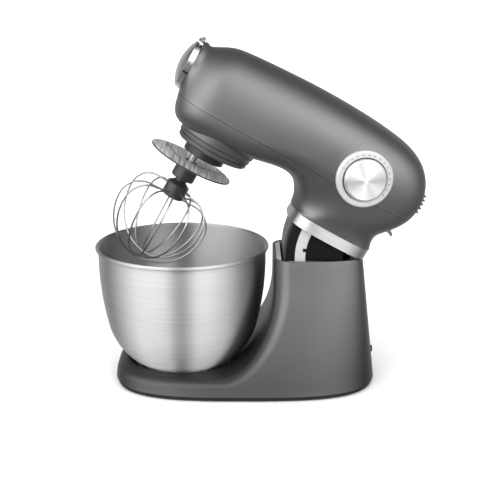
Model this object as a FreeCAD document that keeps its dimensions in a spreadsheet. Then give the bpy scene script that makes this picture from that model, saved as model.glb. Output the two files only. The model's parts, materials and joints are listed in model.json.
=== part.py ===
import FreeCAD, Part
import math
import os
from types import SimpleNamespace

import Sketcher
from FreeCAD import Placement, Rotation, Vector

# Tilt-head stand mixer, in millimetres. +X points to the back, +Y to the far side, +Z up. The origin is the
# middle of the footprint on the table. The head is drawn lowered and then placed raised by head_tilt.

doc = FreeCAD.newDocument("StandMixer")

SIZES = [
    ("head_tilt", 29, "raised angle of the head, degrees"),
    ("hinge_x", "=column_back - hinge_inset", "hinge axis behind the middle of the base"),
    ("hinge_inset", 5, "hinge axis in front of the column's back"),
    ("hinge_z", "=column_height + hinge_rise", "hinge axis above the table"),
    ("hinge_rise", 2, "hinge axis over the column's top"),
    ("running_gap", 0.04, "radial clearance of a turning fit"),
    ("free_gap", 0.4, "clearance between pieces that move past each other"),
    ("fit_gap", 0.1, "gap round a piece that is fixed in another"),
    ("seam_gap", 0.5, "visible joint between the head shells"),
    ("base_length", 334, "footprint from front to back"),
    ("base_width", 220, "footprint from side to side"),
    ("foot_height", 1.5, "rubber foot below the base plate"),
    ("foot_radius", 11, "rubber foot"),
    ("foot_inset", 44, "rubber foot in from the footprint's ends"),
    ("foot_depth", 2, "rubber foot sunk into the base plate"),
    ("plate_thickness", 5, "black base plate"),
    ("plate_inset", 2, "base plate in from the shell's edge"),
    ("base_wall", 3.5, "wall of the base shell"),
    ("deck_height", 25, "deck round the bowl"),
    ("bowl_clearance", 4, "dished deck round the bowl"),
    ("dish_top", 62, "where the dished deck ends"),
    ("column_height", 164, "top of the column"),
    ("column_half_width", 55, "half width of the column's top"),
    ("column_waist", 77, "half width halfway up the column"),
    ("column_back", "=base_length / 2 - back_lean", "back of the column's top"),
    ("back_lean", 18, "lean of the column's back"),
    ("column_front", "=bowl_x + bowl_radius + bead_reach + bead_radius + throat_gap", "front of the column's top"),
    ("throat_gap", 5.6, "gap between the bowl's rim and the column"),
    ("sweep_height", "=column_height - sweep_drop", "where the column's front turns upright"),
    ("sweep_drop", 34, "that turn below the column's top"),
    ("sweep_start", -30, "where the deck starts to sweep up"),
    ("deck_round", 14, "rounding along the edge of the deck"),
    ("column_round", 22, "rounding of the column's front corners"),
    ("back_relief", 5, "column top cut back in front of the hinge axis"),
    ("back_slope", 33, "slope of the relief behind the hinge, degrees"),
    ("rim_thickness", 4, "plate in the column's top"),
    ("rim_drop", 0.6, "rim plate below the column's edge"),
    ("bowl_x", -80.5, "bowl axis, also the planetary axis with the head down"),
    ("bowl_floor", 14.6, "underside of the bowl's floor"),
    ("bowl_radius", 107.2, "outside of the bowl below its rim"),
    ("bowl_wall", 1.2, "bowl sheet"),
    ("bowl_rim", 171, "middle of the rolled rim"),
    ("bead_radius", 2.1, "rolled rim"),
    ("bead_reach", 1.6, "middle of the rolled rim outside the bowl's side"),
    ("side_top", 157.6, "where the bowl's side turns upright"),
    ("side_bend", 365.8, "radius of the bowl's side"),
    ("side_turn", 13.7, "turn of the bowl's side, degrees"),
    ("corner_bend", 85.8, "radius of the bowl's lower corner"),
    ("seat_floor", 10, "floor of the bowl seat"),
    ("seat_radius", "=foot_ring + seat_step", "pocket of the bowl seat"),
    ("seat_step", 10, "pocket of the bowl seat outside the bowl foot"),
    ("seat_ring", 4.5, "width of the bowl seat's ring"),
    ("foot_ring", "=bowl_radius - foot_step", "bowl foot"),
    ("foot_step", 55.2, "bowl foot in from the bowl's side"),
    ("foot_ring_width", 6, "bowl foot"),
    ("lug_reach", 4, "bayonet lugs of the bowl foot"),
    ("lug_height", 1.8, "bayonet lugs of the bowl foot"),
    ("lug_width", 24, "bayonet lugs along the ring"),
    ("neck_gap", 0.5, "neck band above the column"),
    ("band_height", 14, "neck band"),
    ("band_wall", 1.6, "neck band"),
    ("neck_front", "=column_front + neck_step", "front of the neck"),
    ("neck_step", 5, "neck behind the column's front"),
    ("neck_back", "=hinge_x + neck_reach", "back of the neck"),
    ("neck_reach", 9, "neck behind the hinge axis"),
    ("rim_front", "=column_front + rim_width", "slot in the rim plate"),
    ("rim_width", 9.5, "rim plate in front of its slot"),
    ("rim_back", "=hinge_x - rim_room", "slot in the rim plate"),
    ("rim_room", 6, "rim plate in front of the hinge axis"),
    ("rim_half_width", 48, "slot in the rim plate"),
    ("neck_half_width", 53, "half width of the neck"),
    ("head_middle", "=column_height + head_lift", "height of the head's middle line, head down"),
    ("head_lift", 98, "that middle line over the column's top"),
    ("head_half_width", 61, "half width of the head"),
    ("head_wall", 3, "wall of the head shells"),
    ("seam_height", "=head_middle - seam_drop", "joint between the head shells"),
    ("seam_drop", 27, "that joint below the middle line"),
    ("pot_radius", 50.5, "underside of the head round the planetary axis"),
    ("pot_flare", 4.6, "how much wider that underside is at the seam"),
    ("pot_floor", "=head_middle - pot_drop", "underside of the head at the planetary axis"),
    ("pot_drop", 62, "that underside below the middle line"),
    ("trim_radius", 48.5, "trim ring under the head"),
    ("trim_bore", 35, "trim ring opening"),
    ("trim_height", 12, "trim ring"),
    ("carrier_radius", 27, "planet carrier"),
    ("carrier_shift", 6, "planet carrier off the planetary axis"),
    ("carrier_bottom", "=pot_floor - carrier_drop", "planet carrier"),
    ("carrier_drop", 24, "planet carrier below the underside of the head"),
    ("carrier_height", 13, "planet carrier"),
    ("gear_module", 1, "planetary teeth"),
    ("ring_teeth", 48, "internal ring gear"),
    ("planet_teeth", 16, "planet gear"),
    ("gear_bottom", "=pot_floor - gear_drop", "planetary teeth"),
    ("gear_drop", 9, "planetary teeth below the underside of the head"),
    ("gear_width", 8, "planet gear"),
    ("gear_backlash", 0.3, "play between the teeth"),
    ("ring_gear_radius", 31, "outside of the ring gear"),
    ("drive_shaft_radius", 6, "shaft of the planet carrier"),
    ("tool_shaft_radius", 5, "shaft that carries the whisk"),
    ("tool_shaft_bottom", "=pot_floor - shaft_drop", "lower end of the tool shaft"),
    ("shaft_drop", 54, "tool shaft below the underside of the head"),
    ("bush_wall", 2.5, "bush of the tool shaft"),
    ("cross_pin_radius", 1.5, "bayonet pin of the tool shaft"),
    ("cross_pin_length", 16, "bayonet pin of the tool shaft"),
    ("cross_pin_height", "=tool_shaft_bottom + cross_pin_rise", "bayonet pin of the tool shaft"),
    ("cross_pin_rise", 6, "bayonet pin over the shaft's lower end"),
    ("housing_radius", 19, "gear housing tube"),
    ("housing_flange", 44, "gear housing flange"),
    ("flange_thickness", 5, "gear housing flange"),
    ("bearing_radius", 14, "drive shaft bearing"),
    ("bearing_height", 8, "drive shaft bearing"),
    ("plate_level", "=head_middle", "underside of the drive plate"),
    ("plate_depth", 6, "drive plate"),
    ("plate_half_width", 32, "drive plate"),
    ("motor_x", "=hinge_x - motor_step", "motor axis, head down"),
    ("motor_step", 44, "motor axis in front of the hinge axis"),
    ("motor_bottom", "=head_middle - motor_drop", "motor stator"),
    ("motor_drop", 48, "motor stator below the middle line"),
    ("motor_height", 42, "motor stator"),
    ("stator_radius", 34, "motor stator"),
    ("rotor_radius", 21, "motor rotor"),
    ("air_gap", 0.5, "between rotor and stator"),
    ("motor_shaft_radius", 4, "motor shaft"),
    ("motor_bearing_radius", 10, "motor bearing"),
    ("bridge_thickness", 6, "lower motor bridge"),
    ("bridge_level", "=motor_bottom - bridge_drop", "lower motor bridge"),
    ("bridge_drop", 11, "lower motor bridge below the stator"),
    ("bridge_radius", 39.5, "lower motor bridge"),
    ("post_radius", 2.5, "motor posts"),
    ("post_circle", 36.7, "motor posts round the motor axis"),
    ("fan_radius", 30, "cooling fan"),
    ("fan_height", 10, "cooling fan"),
    ("fan_blades", 11, "cooling fan"),
    ("pulley_level", "=head_middle + pulley_rise", "underside of both pulleys"),
    ("pulley_rise", 17, "pulleys over the middle line"),
    ("pulley_height", 10, "pulleys"),
    ("pulley_rim", 1.2, "flanges of the pulleys"),
    ("drive_pulley_radius", 38.4, "belt seat of the large pulley"),
    ("motor_pulley_radius", 9.6, "belt seat of the small pulley"),
    ("belt_thickness", 1.6, "drive belt"),
    ("hinge_pin_radius", 4, "hinge pin"),
    ("ear_outer", 23.5, "outside of the hinge bracket's ears"),
    ("ear_thickness", 5, "hinge bracket"),
    ("arm_thickness", 5, "hinge arms of the motor frame"),
    ("knuckle_round", 5.6, "round ends on the hinge pin"),
    ("bracket_floor", "=column_height - bracket_drop", "hinge bracket"),
    ("bracket_drop", 36, "hinge bracket below the column's top"),
    ("skirt_radius", "=hinge_x - column_front - skirt_step", "front of the neck skirt from the hinge"),
    ("skirt_step", 15, "neck skirt behind the column's front"),
    ("skirt_heel", 22, "back of the neck skirt from the hinge"),
    ("skirt_half_width", 42, "neck skirt"),
    ("skirt_wall", 2.5, "neck skirt"),
    ("skirt_sweep", 36, "neck skirt below the hinge level, degrees"),
    ("cover_thickness", 3, "curved cover in front of the skirt"),
    ("cover_half_width", 30, "curved cover"),
    ("strut_inner", "=strut_outer - strut_width", "latch strut from the hinge"),
    ("strut_width", 13, "latch strut"),
    ("strut_outer", "=skirt_radius - strut_step", "latch strut from the hinge"),
    ("strut_step", 11, "latch strut behind the skirt's front"),
    ("strut_thickness", 4, "latch strut"),
    ("strut_notch", 4, "notch of the latch strut"),
    ("flange_level", "=column_height + flange_rise", "skirt flange inside the neck band"),
    ("flange_rise", 7, "skirt flange over the column's top"),
    ("flange_depth", 3, "skirt flange"),
    ("dial_x", "=hinge_x - dial_step", "speed dial, head down"),
    ("dial_step", 50, "speed dial in front of the hinge axis"),
    ("dial_z", "=head_middle - dial_drop", "speed dial, head down"),
    ("dial_drop", 4.4, "speed dial below the middle line"),
    ("dial_face", 64.5, "face of the dial ring from the middle plane"),
    ("dial_cant", 6, "dial axis turned to the back, degrees"),
    ("dial_radius", 35, "dial ring"),
    ("dial_depth", 12, "dial ring"),
    ("knob_radius", 26, "speed knob"),
    ("knob_rise", 10.4, "speed knob over the dial ring"),
    ("knob_recess", 4, "knob sunk into the dial ring"),
    ("spindle_radius", 3, "speed knob spindle"),
    ("switch_size", 26, "speed switch"),
    ("switch_depth", 10, "speed switch"),
    ("cap_radius", 31.5, "hub cap"),
    ("cap_bulge", 9, "hub cap"),
    ("cap_rim", 3, "hub cap"),
    ("cap_level", "=head_middle + cap_rise", "hub cap axis, head down"),
    ("cap_rise", 7.5, "hub cap axis over the middle line"),
    ("nose_x", -153, "front of the head shells"),
    ("bezel_thickness", 3.5, "chrome bezel behind the cap"),
    ("cap_pin_radius", 1.2, "hub cap hinge"),
    ("cap_pin_rise", 34.6, "hub cap hinge above the cap axis"),
    ("hub_bore", 16, "attachment hub"),
    ("hub_radius", 23, "attachment hub"),
    ("hub_depth", 30, "attachment hub"),
    ("lever_x", "=hinge_x + lever_step", "release lever pivot, head down"),
    ("lever_step", 3, "release lever pivot behind the hinge axis"),
    ("lever_z", "=head_middle - lever_drop", "release lever pivot, head down"),
    ("lever_drop", 58, "release lever pivot below the middle line"),
    ("lever_half_width", 11, "release lever"),
    ("lever_reach", 25, "release lever"),
    ("lever_thickness", 3.4, "release lever"),
    ("lever_arch", 3.2, "release lever, rise of its blade"),
    ("lever_pin_radius", 2, "release lever pivot"),
    ("hub_top", "=tool_shaft_bottom + hub_grip", "top of the whisk hub, head down"),
    ("hub_grip", 16, "whisk hub over the tool shaft's lower end"),
    ("hub_height", 50, "whisk hub"),
    ("hub_upper_radius", 13.75, "whisk hub"),
    ("hub_waist_radius", 7.6, "whisk hub"),
    ("hub_lower_radius", 14.75, "whisk hub"),
    ("disc_radius", 55, "splash disc"),
    ("disc_thickness", 1.4, "splash disc"),
    ("wire_radius", 0.95, "whisk wire"),
    ("wire_loops", 6, "whisk wire"),
    ("wire_step", 2.05, "height between neighbouring loops"),
    ("balloon_radius", 60.4, "whisk"),
    ("shoulder_bend", 30, "whisk wire under the hub"),
    ("whisk_tip", "=bowl_floor + bowl_wall + tip_gap", "lowest whisk wire, head down"),
    ("tip_gap", 4.2, "lowest whisk wire over the bowl's floor"),
    ("screw_radius", 2, "screws"),
    ("screw_head", 3.6, "screws"),
    ("vent_count", 5, "air slots at the back"),
    ("vent_height", 2.6, "air slots"),
    ("vent_pitch", 5.6, "air slots"),
    ("vent_width", 46, "air slots"),
    ("vent_low", "=head_middle - vent_drop", "lowest air slot, head down"),
    ("vent_drop", 16, "lowest air slot below the middle line"),
    ("gland_radius", 8, "cable gland"),
    ("gland_height", 30, "cable gland above the table"),
    ("plate_screw_x", "=base_length / 2 - plate_screw_inset", "base plate screws from the middle"),
    ("plate_screw_inset", 26, "base plate screws in from the footprint's ends"),
    ("plate_screw_y", 35, "base plate screws from the middle"),
    ("plate_screw_length", 10, "screw shank"),
    ("screw_boss", 5.5, "boss of a base plate screw"),
    ("rib_thickness", 4, "rib from a screw boss to the wall"),
    ("seat_height", 4.5, "bowl seat"),
    ("bracket_length", 30, "hinge bracket in front of the hinge"),
    ("ear_length", 10, "ears of the hinge bracket, front to back"),
    ("ear_back", 1.2, "ears of the hinge bracket in front of the hinge axis"),
    ("gland_length", 9, "cable gland"),
    ("pot_edge", 2, "rounding of the pot under the nose"),
    ("throat_screw_x", 21, "seam screws, head down"),
    ("throat_screw_z", "=head_middle - throat_screw_drop", "seam screws, head down"),
    ("throat_screw_drop", 39, "seam screws below the middle line"),
    ("lever_slot", 15, "slot of the release lever"),
    ("board_x", "=neck_front + board_step", "control board, head down"),
    ("board_step", 17.6, "control board behind the neck's front"),
    ("board_thickness", 1.6, "control board"),
    ("fan_blade", 1.4, "cooling fan blade"),
    ("spring_wire", 0.5, "lever spring wire radius"),
    ("spring_turns", 4, "lever spring"),
]

# Sections of the head shells from nose to neck, head down. Each runs from a point on the underside to a
# point on the crown, as x and height over the head's middle line, with its share of the half width, how far
# up it is widest, and its fullness above and below that, where 2 is an ellipse and more is boxier. From the
# throat on they fan round to the level neck.
HEAD_SECTIONS = [
    (-153, -24, -153, 39, 0.516, 0.5, 2.0, 2.0),
    (-149.5, -40, -146, 39, 0.56, 0.45, 2.05, 2.1),
    (-141, -55, -136, 42, 0.72, 0.39, 2.15, 2.5),
    (-127, -59.8, -122, 49, 0.875, 0.35, 2.25, 3.0),
    (-100, -60.6, -98, 54.5, 0.96, 0.33, 2.3, 3.3),
    (-50, -58, -50, 58, 0.99, 0.32, 2.3, 3.2),
    (0, -49, 0, 60, 1.0, 0.33, 2.35, 2.7),
    (22, -52.5, 52, 59.5, 1.01, 0.38, 2.5, 2.5),
    (32, -62, 110, 55, 1.0, 0.44, 2.7, 2.7),
    (37, -70, 152, 43, 0.975, 0.48, 2.8, 2.8),
    (39.5, -76, 174.5, 20, 0.95, 0.5, 2.9, 2.9),
    (40.4, -79.5, 181.8, -8, 0.93, 0.5, 3.0, 3.0),
    (40.8, -81.2, 177, -30, 0.915, 0.5, 3.1, 3.1),
    (41, -82.2, 163.5, -47, 0.9, 0.5, 3.2, 3.2),
    (41, -82.9, 154.5, -64, 0.88, 0.5, 3.3, 3.3),
    (41, -83.5, 153, -83.5, 0.869, 0.5, 3.4, 3.4),
]
HEAD_STATIONS = 24
HEAD_POINTS = 24
BASE_FULLNESS = 3.1
WAIST_FULLNESS = 3.8
COLUMN_FULLNESS = 5.2
NECK_FULLNESS = 3.4
OUTLINE_POINTS = 28
PRESSURE_ANGLE = math.radians(20)


class Size:
    """A length that carries its value and the sheet formula it comes from."""

    def __init__(self, value, formula):
        self.value = value
        self.formula = formula

    def __float__(self):
        return float(self.value)

    def __add__(self, other):
        other = as_size(other)
        return Size(self.value + other.value, f"({self.formula} + {other.formula})")

    def __sub__(self, other):
        other = as_size(other)
        return Size(self.value - other.value, f"({self.formula} - {other.formula})")

    def __mul__(self, other):
        other = as_size(other)
        return Size(self.value * other.value, f"({self.formula} * {other.formula})")

    def __truediv__(self, other):
        other = as_size(other)
        return Size(self.value / other.value, f"({self.formula} / {other.formula})")

    def __neg__(self):
        return Size(-self.value, f"(0 - {self.formula})")

    def __radd__(self, other):
        return as_size(other) + self

    def __rsub__(self, other):
        return as_size(other) - self

    def __rmul__(self, other):
        return as_size(other) * self

    def __rtruediv__(self, other):
        return as_size(other) / self


def as_size(amount):
    return amount if isinstance(amount, Size) else Size(amount, repr(amount))


def make_sheet():
    """Writes the sizes into a sheet and returns them by name; one given as text is a formula of others."""
    sheet = doc.addObject("Spreadsheet::Sheet", "Sizes")
    for row, (alias, _, meaning) in enumerate(SIZES, start=1):
        sheet.set(f"A{row}", meaning)
        sheet.setAlias(f"B{row}", alias)
    for row, (_, value, _) in enumerate(SIZES, start=1):
        sheet.set(f"B{row}", str(value))
    doc.recompute()
    sizes = {alias: Size(float(sheet.get(alias)), f"Sizes.{alias}") for alias, _, _ in SIZES}
    return SimpleNamespace(**sizes)


S = make_sheet()
SUBPARTS = []


def bind(target, prop, amount):
    target.setExpression(prop, as_size(amount).formula)


def subpart(shape_object, placement=None):
    """Registers a finished piece and puts it in its place."""
    shape_object.Placement = (placement or Placement()).multiply(shape_object.Placement)
    SUBPARTS.append(shape_object)
    return shape_object


def shift(x, y, z):
    return Placement(Vector(float(x), float(y), float(z)), Rotation())


def spun(axis, degrees):
    return Placement(Vector(), Rotation(axis, float(degrees)))


X_AXIS = Vector(1, 0, 0)
Y_AXIS = Vector(0, 1, 0)
Z_AXIS = Vector(0, 0, 1)
HINGE = shift(S.hinge_x, 0, S.hinge_z)
RAISED = HINGE.multiply(spun(Y_AXIS, S.head_tilt)).multiply(HINGE.inverse())


def in_head(local=None):
    return RAISED.multiply(local or Placement())


ON_PLANET_AXIS = shift(S.bowl_x, 0, 0)
THROW = S.gear_module * (S.ring_teeth - S.planet_teeth) / 2
ON_TOOL_AXIS = shift(S.bowl_x - THROW, 0, 0)
ON_MOTOR_AXIS = shift(S.motor_x, 0, 0)
ON_CAP_AXIS = shift(0, 0, S.cap_level).multiply(spun(Y_AXIS, -90))
DIAL_TURN = spun(Z_AXIS, S.dial_cant).multiply(spun(X_AXIS, 90))
ON_DIAL = shift(S.dial_x, -S.dial_face, S.dial_z).multiply(DIAL_TURN)
NECK_BASE = S.column_height + S.neck_gap + S.band_height


def new_body(label):
    body = doc.addObject("PartDesign::Body", label)
    body.Label = label
    return body


def new_sketch(body, role, lift=0):
    """A sketch on one of the body's origin planes, lifted along the plane's normal."""
    sketch = body.newObject("Sketcher::SketchObject", "Sketch")
    plane = next(feature for feature in body.Origin.OriginFeatures if feature.Role == role)
    sketch.AttachmentSupport = [(plane, "")]
    sketch.MapMode = "FlatFace"
    bind(sketch, "AttachmentOffset.Base.z", lift)
    return sketch


def hold(sketch, kind, first, second, amount):
    """Adds one driving constraint that follows the sheet."""
    index = sketch.addConstraint(Sketcher.Constraint(kind, *first, *second, float(amount)))
    sketch.setExpression(f"Constraints[{index}]", as_size(amount).formula)


def pin_point(sketch, geometry, end, u, v):
    """Holds one end of a sketch line at a place given by two sizes."""
    for kind, amount, axis in (("DistanceX", u, -2), ("DistanceY", v, -1)):
        if isinstance(amount, Size):
            hold(sketch, kind, (-1, 1), (geometry, end), amount)
        elif amount == 0:
            sketch.addConstraint(Sketcher.Constraint("PointOnObject", geometry, end, axis))
        else:
            sketch.addConstraint(Sketcher.Constraint(kind, -1, 1, geometry, end, float(amount)))


def arc_between(start, end, radius):
    """The short arc from start to end; a positive radius bulges to the left of the way."""
    chord = end - start
    half = chord.Length / 2
    left = Vector(-chord.y, chord.x, 0).normalize()
    side = 1 if radius > 0 else -1
    rise = abs(radius) - math.sqrt(max(radius * radius - half * half, 0))
    return Part.Arc(start, start + chord * 0.5 + left * (side * rise), end)


def outline(sketch, corners):
    """A closed outline. A corner is (u, v), or (u, v, radius) where an arc of that radius leaves it."""
    count = len(corners)
    points = [Vector(float(corner[0]), float(corner[1]), 0) for corner in corners]
    ends = []
    for index, corner in enumerate(corners):
        start, stop = points[index], points[(index + 1) % count]
        if len(corner) == 2:
            geometry = sketch.addGeometry(Part.LineSegment(start, stop), False)
            ends.append((geometry, 1, 2))
            continue
        geometry = sketch.addGeometry(arc_between(start, stop, float(corner[2])), False)
        first, last = sketch.getPoint(geometry, 1), sketch.getPoint(geometry, 2)
        forward = (first - start).Length < (last - start).Length
        ends.append((geometry, 1, 2) if forward else (geometry, 2, 1))
    for index, (geometry, _, last) in enumerate(ends):
        following = ends[(index + 1) % count]
        sketch.addConstraint(Sketcher.Constraint("Coincident", geometry, last, following[0], following[1]))
    for (geometry, first, _), corner in zip(ends, corners):
        pin_point(sketch, geometry, first, corner[0], corner[1])
        if len(corner) == 3:
            radius = corner[2] if float(corner[2]) > 0 else -corner[2]
            index = sketch.addConstraint(Sketcher.Constraint("Radius", geometry, float(radius)))
            sketch.setExpression(f"Constraints[{index}]", as_size(radius).formula)


def ring(sketch, radius, u=0, v=0):
    """A circle round a point given by two sizes."""
    geometry = sketch.addGeometry(Part.Circle(Vector(float(u), float(v), 0), Z_AXIS, float(radius)), False)
    index = sketch.addConstraint(Sketcher.Constraint("Radius", geometry, float(radius)))
    sketch.setExpression(f"Constraints[{index}]", as_size(radius).formula)
    pin_point(sketch, geometry, 3, u, v)


def box_corners(low_u, low_v, high_u, high_v):
    return [(low_u, low_v), (high_u, low_v), (high_u, high_v), (low_u, high_v)]


def revolve(body, corners, kind="PartDesign::Revolution"):
    """Turns an outline given as radius and height round the body's Z axis."""
    sketch = new_sketch(body, "XZ_Plane")
    outline(sketch, corners)
    feature = body.newObject(kind, "Turned")
    feature.Profile = sketch
    feature.ReferenceAxis = (sketch, ["V_Axis"])
    feature.Angle = 360
    return feature


def pad(body, sketch, length, centred=False):
    feature = body.newObject("PartDesign::Pad", "Pad")
    feature.Profile = sketch
    bind(feature, "Length", length)
    feature.Midplane = centred
    return feature


def pocket(body, sketch, length, centred=False, backwards=False):
    """Cuts along the sketch plane's normal, or both ways, and makes sure that something was cut."""
    doc.recompute()
    before = body.Shape.Volume
    feature = body.newObject("PartDesign::Pocket", "Pocket")
    feature.Profile = sketch
    bind(feature, "Length", length)
    feature.Midplane = centred
    feature.Reversed = backwards
    doc.recompute()
    if body.Shape.Volume >= before:
        raise RuntimeError(f"{body.Label}: a pocket cuts nothing")
    return feature


def tube(label, outer, inner, bottom, height):
    """A plain ring round the Z axis."""
    body = new_body(label)
    sketch = new_sketch(body, "XY_Plane", bottom)
    ring(sketch, outer)
    if inner is not None:
        ring(sketch, inner)
    pad(body, sketch, height)
    return body


def pattern_round(body, feature, count):
    """Repeats a feature round the body's Z axis."""
    doc.recompute()
    polar = body.newObject("PartDesign::PolarPattern", "Pattern")
    polar.Originals = [feature]
    axis = next(item for item in body.Origin.OriginFeatures if item.Role == "Z_Axis")
    polar.Axis = (axis, [""])
    polar.Angle = 360
    bind(polar, "Occurrences", count)
    body.Tip = polar
    return polar


def solid_feature(label, shape):
    """A piece whose shape comes from Part's own functions."""
    feature = doc.addObject("Part::Feature", label)
    feature.Label = label
    feature.Shape = shape
    return feature


def group(label, members):
    compound = doc.addObject("Part::Compound", label)
    compound.Label = label
    compound.Links = members
    return compound


def cylinder(label, radius, height, place):
    item = doc.addObject("Part::Cylinder", label)
    bind(item, "Radius", radius)
    bind(item, "Height", height)
    item.Placement = place
    return item


def point(x, y, z):
    return Vector(float(x), float(y), float(z))


def root(amount):
    return Size(math.sqrt(amount.value), f"sqrt({amount.formula})")


def cosine(amount):
    return Size(math.cos(math.radians(amount.value)), f"cos({amount.formula})")


def sine(amount):
    return Size(math.sin(math.radians(amount.value)), f"sin({amount.formula})")


def disc(radius, bottom, height, x=0, y=0):
    """An upright solid cylinder."""
    return Part.makeCylinder(float(radius), float(height), point(x, y, bottom))


def rod(radius, start, end):
    """A round bar between two points."""
    return Part.makeCylinder(float(radius), (end - start).Length, start, end - start)


def block(low, high):
    """A box between two opposite corners."""
    low, high = point(*low), point(*high)
    span = high - low
    return Part.makeBox(span.x, span.y, span.z, low)


def turned(corners, x=0):
    """A solid of revolution round an upright axis, from corners given as radius and height."""
    points = [point(radius, 0, height) for radius, height in corners]
    solid = Part.Face(Part.makePolygon(points + points[:1])).revolve(Vector(), Z_AXIS, 360)
    solid.translate(point(x, 0, 0))
    return solid


def side_plate(corners, low_y, high_y):
    """An upright plate, from corners given as x and height."""
    points = [point(x, low_y, height) for x, height in corners]
    return Part.Face(Part.makePolygon(points + points[:1])).extrude(point(0, high_y - low_y, 0))


def one_solid(shape):
    shape = shape.removeSplitter()
    return shape.Solids[0] if len(shape.Solids) == 1 else shape


def bent(value, fullness):
    """Cosine or sine of a full oval: an ellipse for a fullness of 2, boxier for more."""
    if abs(value) < 1e-9:
        return 0.0
    return math.copysign(abs(value) ** (2 / fullness), value)


def level_oval(front, back, half_width, height, fullness):
    """A closed smooth outline at one height."""
    front, back, half_width = float(front), float(back), float(half_width)
    points = []
    for step in range(OUTLINE_POINTS):
        angle = 2 * math.pi * step / OUTLINE_POINTS
        along = (front + back) / 2 + (back - front) / 2 * bent(math.cos(angle), fullness)
        points.append(point(along, half_width * bent(math.sin(angle), fullness), height))
    curve = Part.BSplineCurve()
    curve.interpolate(Points=points, PeriodicFlag=True)
    return Part.Wire(curve.toShape())


def oval_prism(front, back, half_width, bottom, height, fullness):
    return Part.Face(level_oval(front, back, half_width, bottom, fullness)).extrude(point(0, 0, height))


# Base: one casting with the column, a black plate under it, feet and screws.
SHELL_FOOT = S.foot_height + S.plate_thickness


def deck_cutter(inset):
    """The room over the deck in front of the column: a level deck that sweeps up to the column's front."""
    deck, front = S.deck_height - inset, S.column_front + inset
    start, turn = S.sweep_start, S.sweep_height
    above, ahead = S.column_height * 2, -S.base_length
    half = float(S.base_width)
    ellipse = Part.Ellipse(point(start, 0, deck), point(front, 0, turn), point(start, 0, turn))
    sweep = Part.ArcOfEllipse(ellipse, 0, math.pi / 2).toShape()
    corners = [point(front, 0, turn), point(front, 0, above), point(ahead, 0, above)]
    corners += [point(ahead, 0, deck), point(start, 0, deck)]
    edges = [sweep] + [Part.makeLine(first, second) for first, second in zip(corners, corners[1:])]
    face = Part.Face(Part.Wire(Part.__sortEdges__(edges)))
    cutter = face.extrude(point(0, half * 2, 0))
    cutter.translate(point(0, -half, 0))
    return cutter


def base_form(label, inset):
    """Base and column as one form: a drafted footprint cut by the deck and its sweep, its edge rounded."""
    length, width = S.base_length / 2 - inset, S.base_width / 2 - inset
    low, high = float(SHELL_FOOT), float(S.column_height)
    back = S.column_back - inset
    waist = (length + back) / 2
    envelope = Part.makeLoft([
        level_oval(-length, length, width, low, BASE_FULLNESS),
        level_oval(-waist, waist, S.column_waist - inset, (low + high) / 2, WAIST_FULLNESS),
        level_oval(-back, back, S.column_half_width - inset, high, COLUMN_FULLNESS),
    ], True)
    near = block((-S.base_length, -S.base_width, 0), (S.base_length, 0, S.column_height * 2))
    sharp = solid_feature(label + "_sharp", envelope.cut(deck_cutter(inset)).common(near))
    curved = [face for face in sharp.Shape.Faces if face.Surface.TypeId == "Part::GeomBSplineSurface"]
    side = max(curved, key=lambda face: face.Area)
    deck_round, column_round = float(S.deck_round - inset), float(S.column_round - inset)
    rounds = []
    for index, edge in enumerate(sharp.Shape.Edges, start=1):
        box = edge.BoundBox
        on_side = any(edge.isSame(other) for other in side.Edges) and box.YMin < -1
        if not on_side or box.ZMin < low + 1 or box.ZMin > high - 1:
            continue
        if box.ZMax > high - 1:
            rounds.append((index, column_round, column_round))
        elif box.ZMax - box.ZMin < 1:
            rounds.append((index, deck_round, deck_round))
        else:
            upward = edge.valueAt(edge.FirstParameter).z < edge.valueAt(edge.LastParameter).z
            if edge.Orientation == "Reversed":
                upward = not upward
            pair = (deck_round, column_round) if upward else (column_round, deck_round)
            rounds.append((index,) + pair)
    form = doc.addObject("Part::Fillet", label)
    form.Base = sharp
    form.Edges = rounds
    doc.recompute()
    return form.Shape.fuse(form.Shape.mirror(Vector(), Y_AXIS)).removeSplitter()


CORNER_R = S.bowl_radius - S.side_bend + (S.side_bend - S.corner_bend) * cosine(S.side_turn)
CORNER_Z = S.side_top - (S.side_bend - S.corner_bend) * sine(S.side_turn)


def dish(clearance, floor, pocket_radius):
    """The hollow that follows the bowl's lower corner at a clearance, with a straight pocket under it."""
    bend = float(S.corner_bend + clearance)
    middle_r, middle_z = float(CORNER_R), float(CORNER_Z)
    radius, top = float(pocket_radius), float(S.dish_top)

    def on_bend(angle):
        return Vector(middle_r + bend * math.cos(angle), 0, middle_z - bend * math.sin(angle))

    high = math.asin((middle_z - top) / bend)
    low = math.acos((radius - middle_r) / bend)
    curve = Part.Arc(on_bend(low), on_bend((low + high) / 2), on_bend(high)).toShape()
    corners = [on_bend(high), point(0, 0, top), point(0, 0, floor), point(radius, 0, floor), on_bend(low)]
    edges = [curve] + [Part.makeLine(first, second) for first, second in zip(corners, corners[1:])]
    solid = Part.Face(Part.Wire(Part.__sortEdges__(edges))).revolve(Vector(), Z_AXIS, 360)
    solid.translate(point(S.bowl_x, 0, 0))
    return solid


BASE_OUTER = base_form("base_outside", 0)
BASE_INNER = base_form("base_inside", float(S.base_wall))
SCREW_PLACES = [(x, y) for x in (-S.plate_screw_x, S.plate_screw_x)
                for y in (-S.plate_screw_y, S.plate_screw_y)]
FOOT_X = S.base_length / 2 - S.foot_inset
FOOT_Y = S.base_width / 2 - S.foot_inset
FOOT_PLACES = [(x, y) for x in (-FOOT_X, FOOT_X) for y in (-FOOT_Y, FOOT_Y)] + [(0, 0)]


def screw(length):
    """A pan-head screw with its head on top and its shank down."""
    head = disc(S.screw_head, 0, S.screw_head / 2)
    return head.fuse(disc(S.screw_radius, -length, length))


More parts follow.
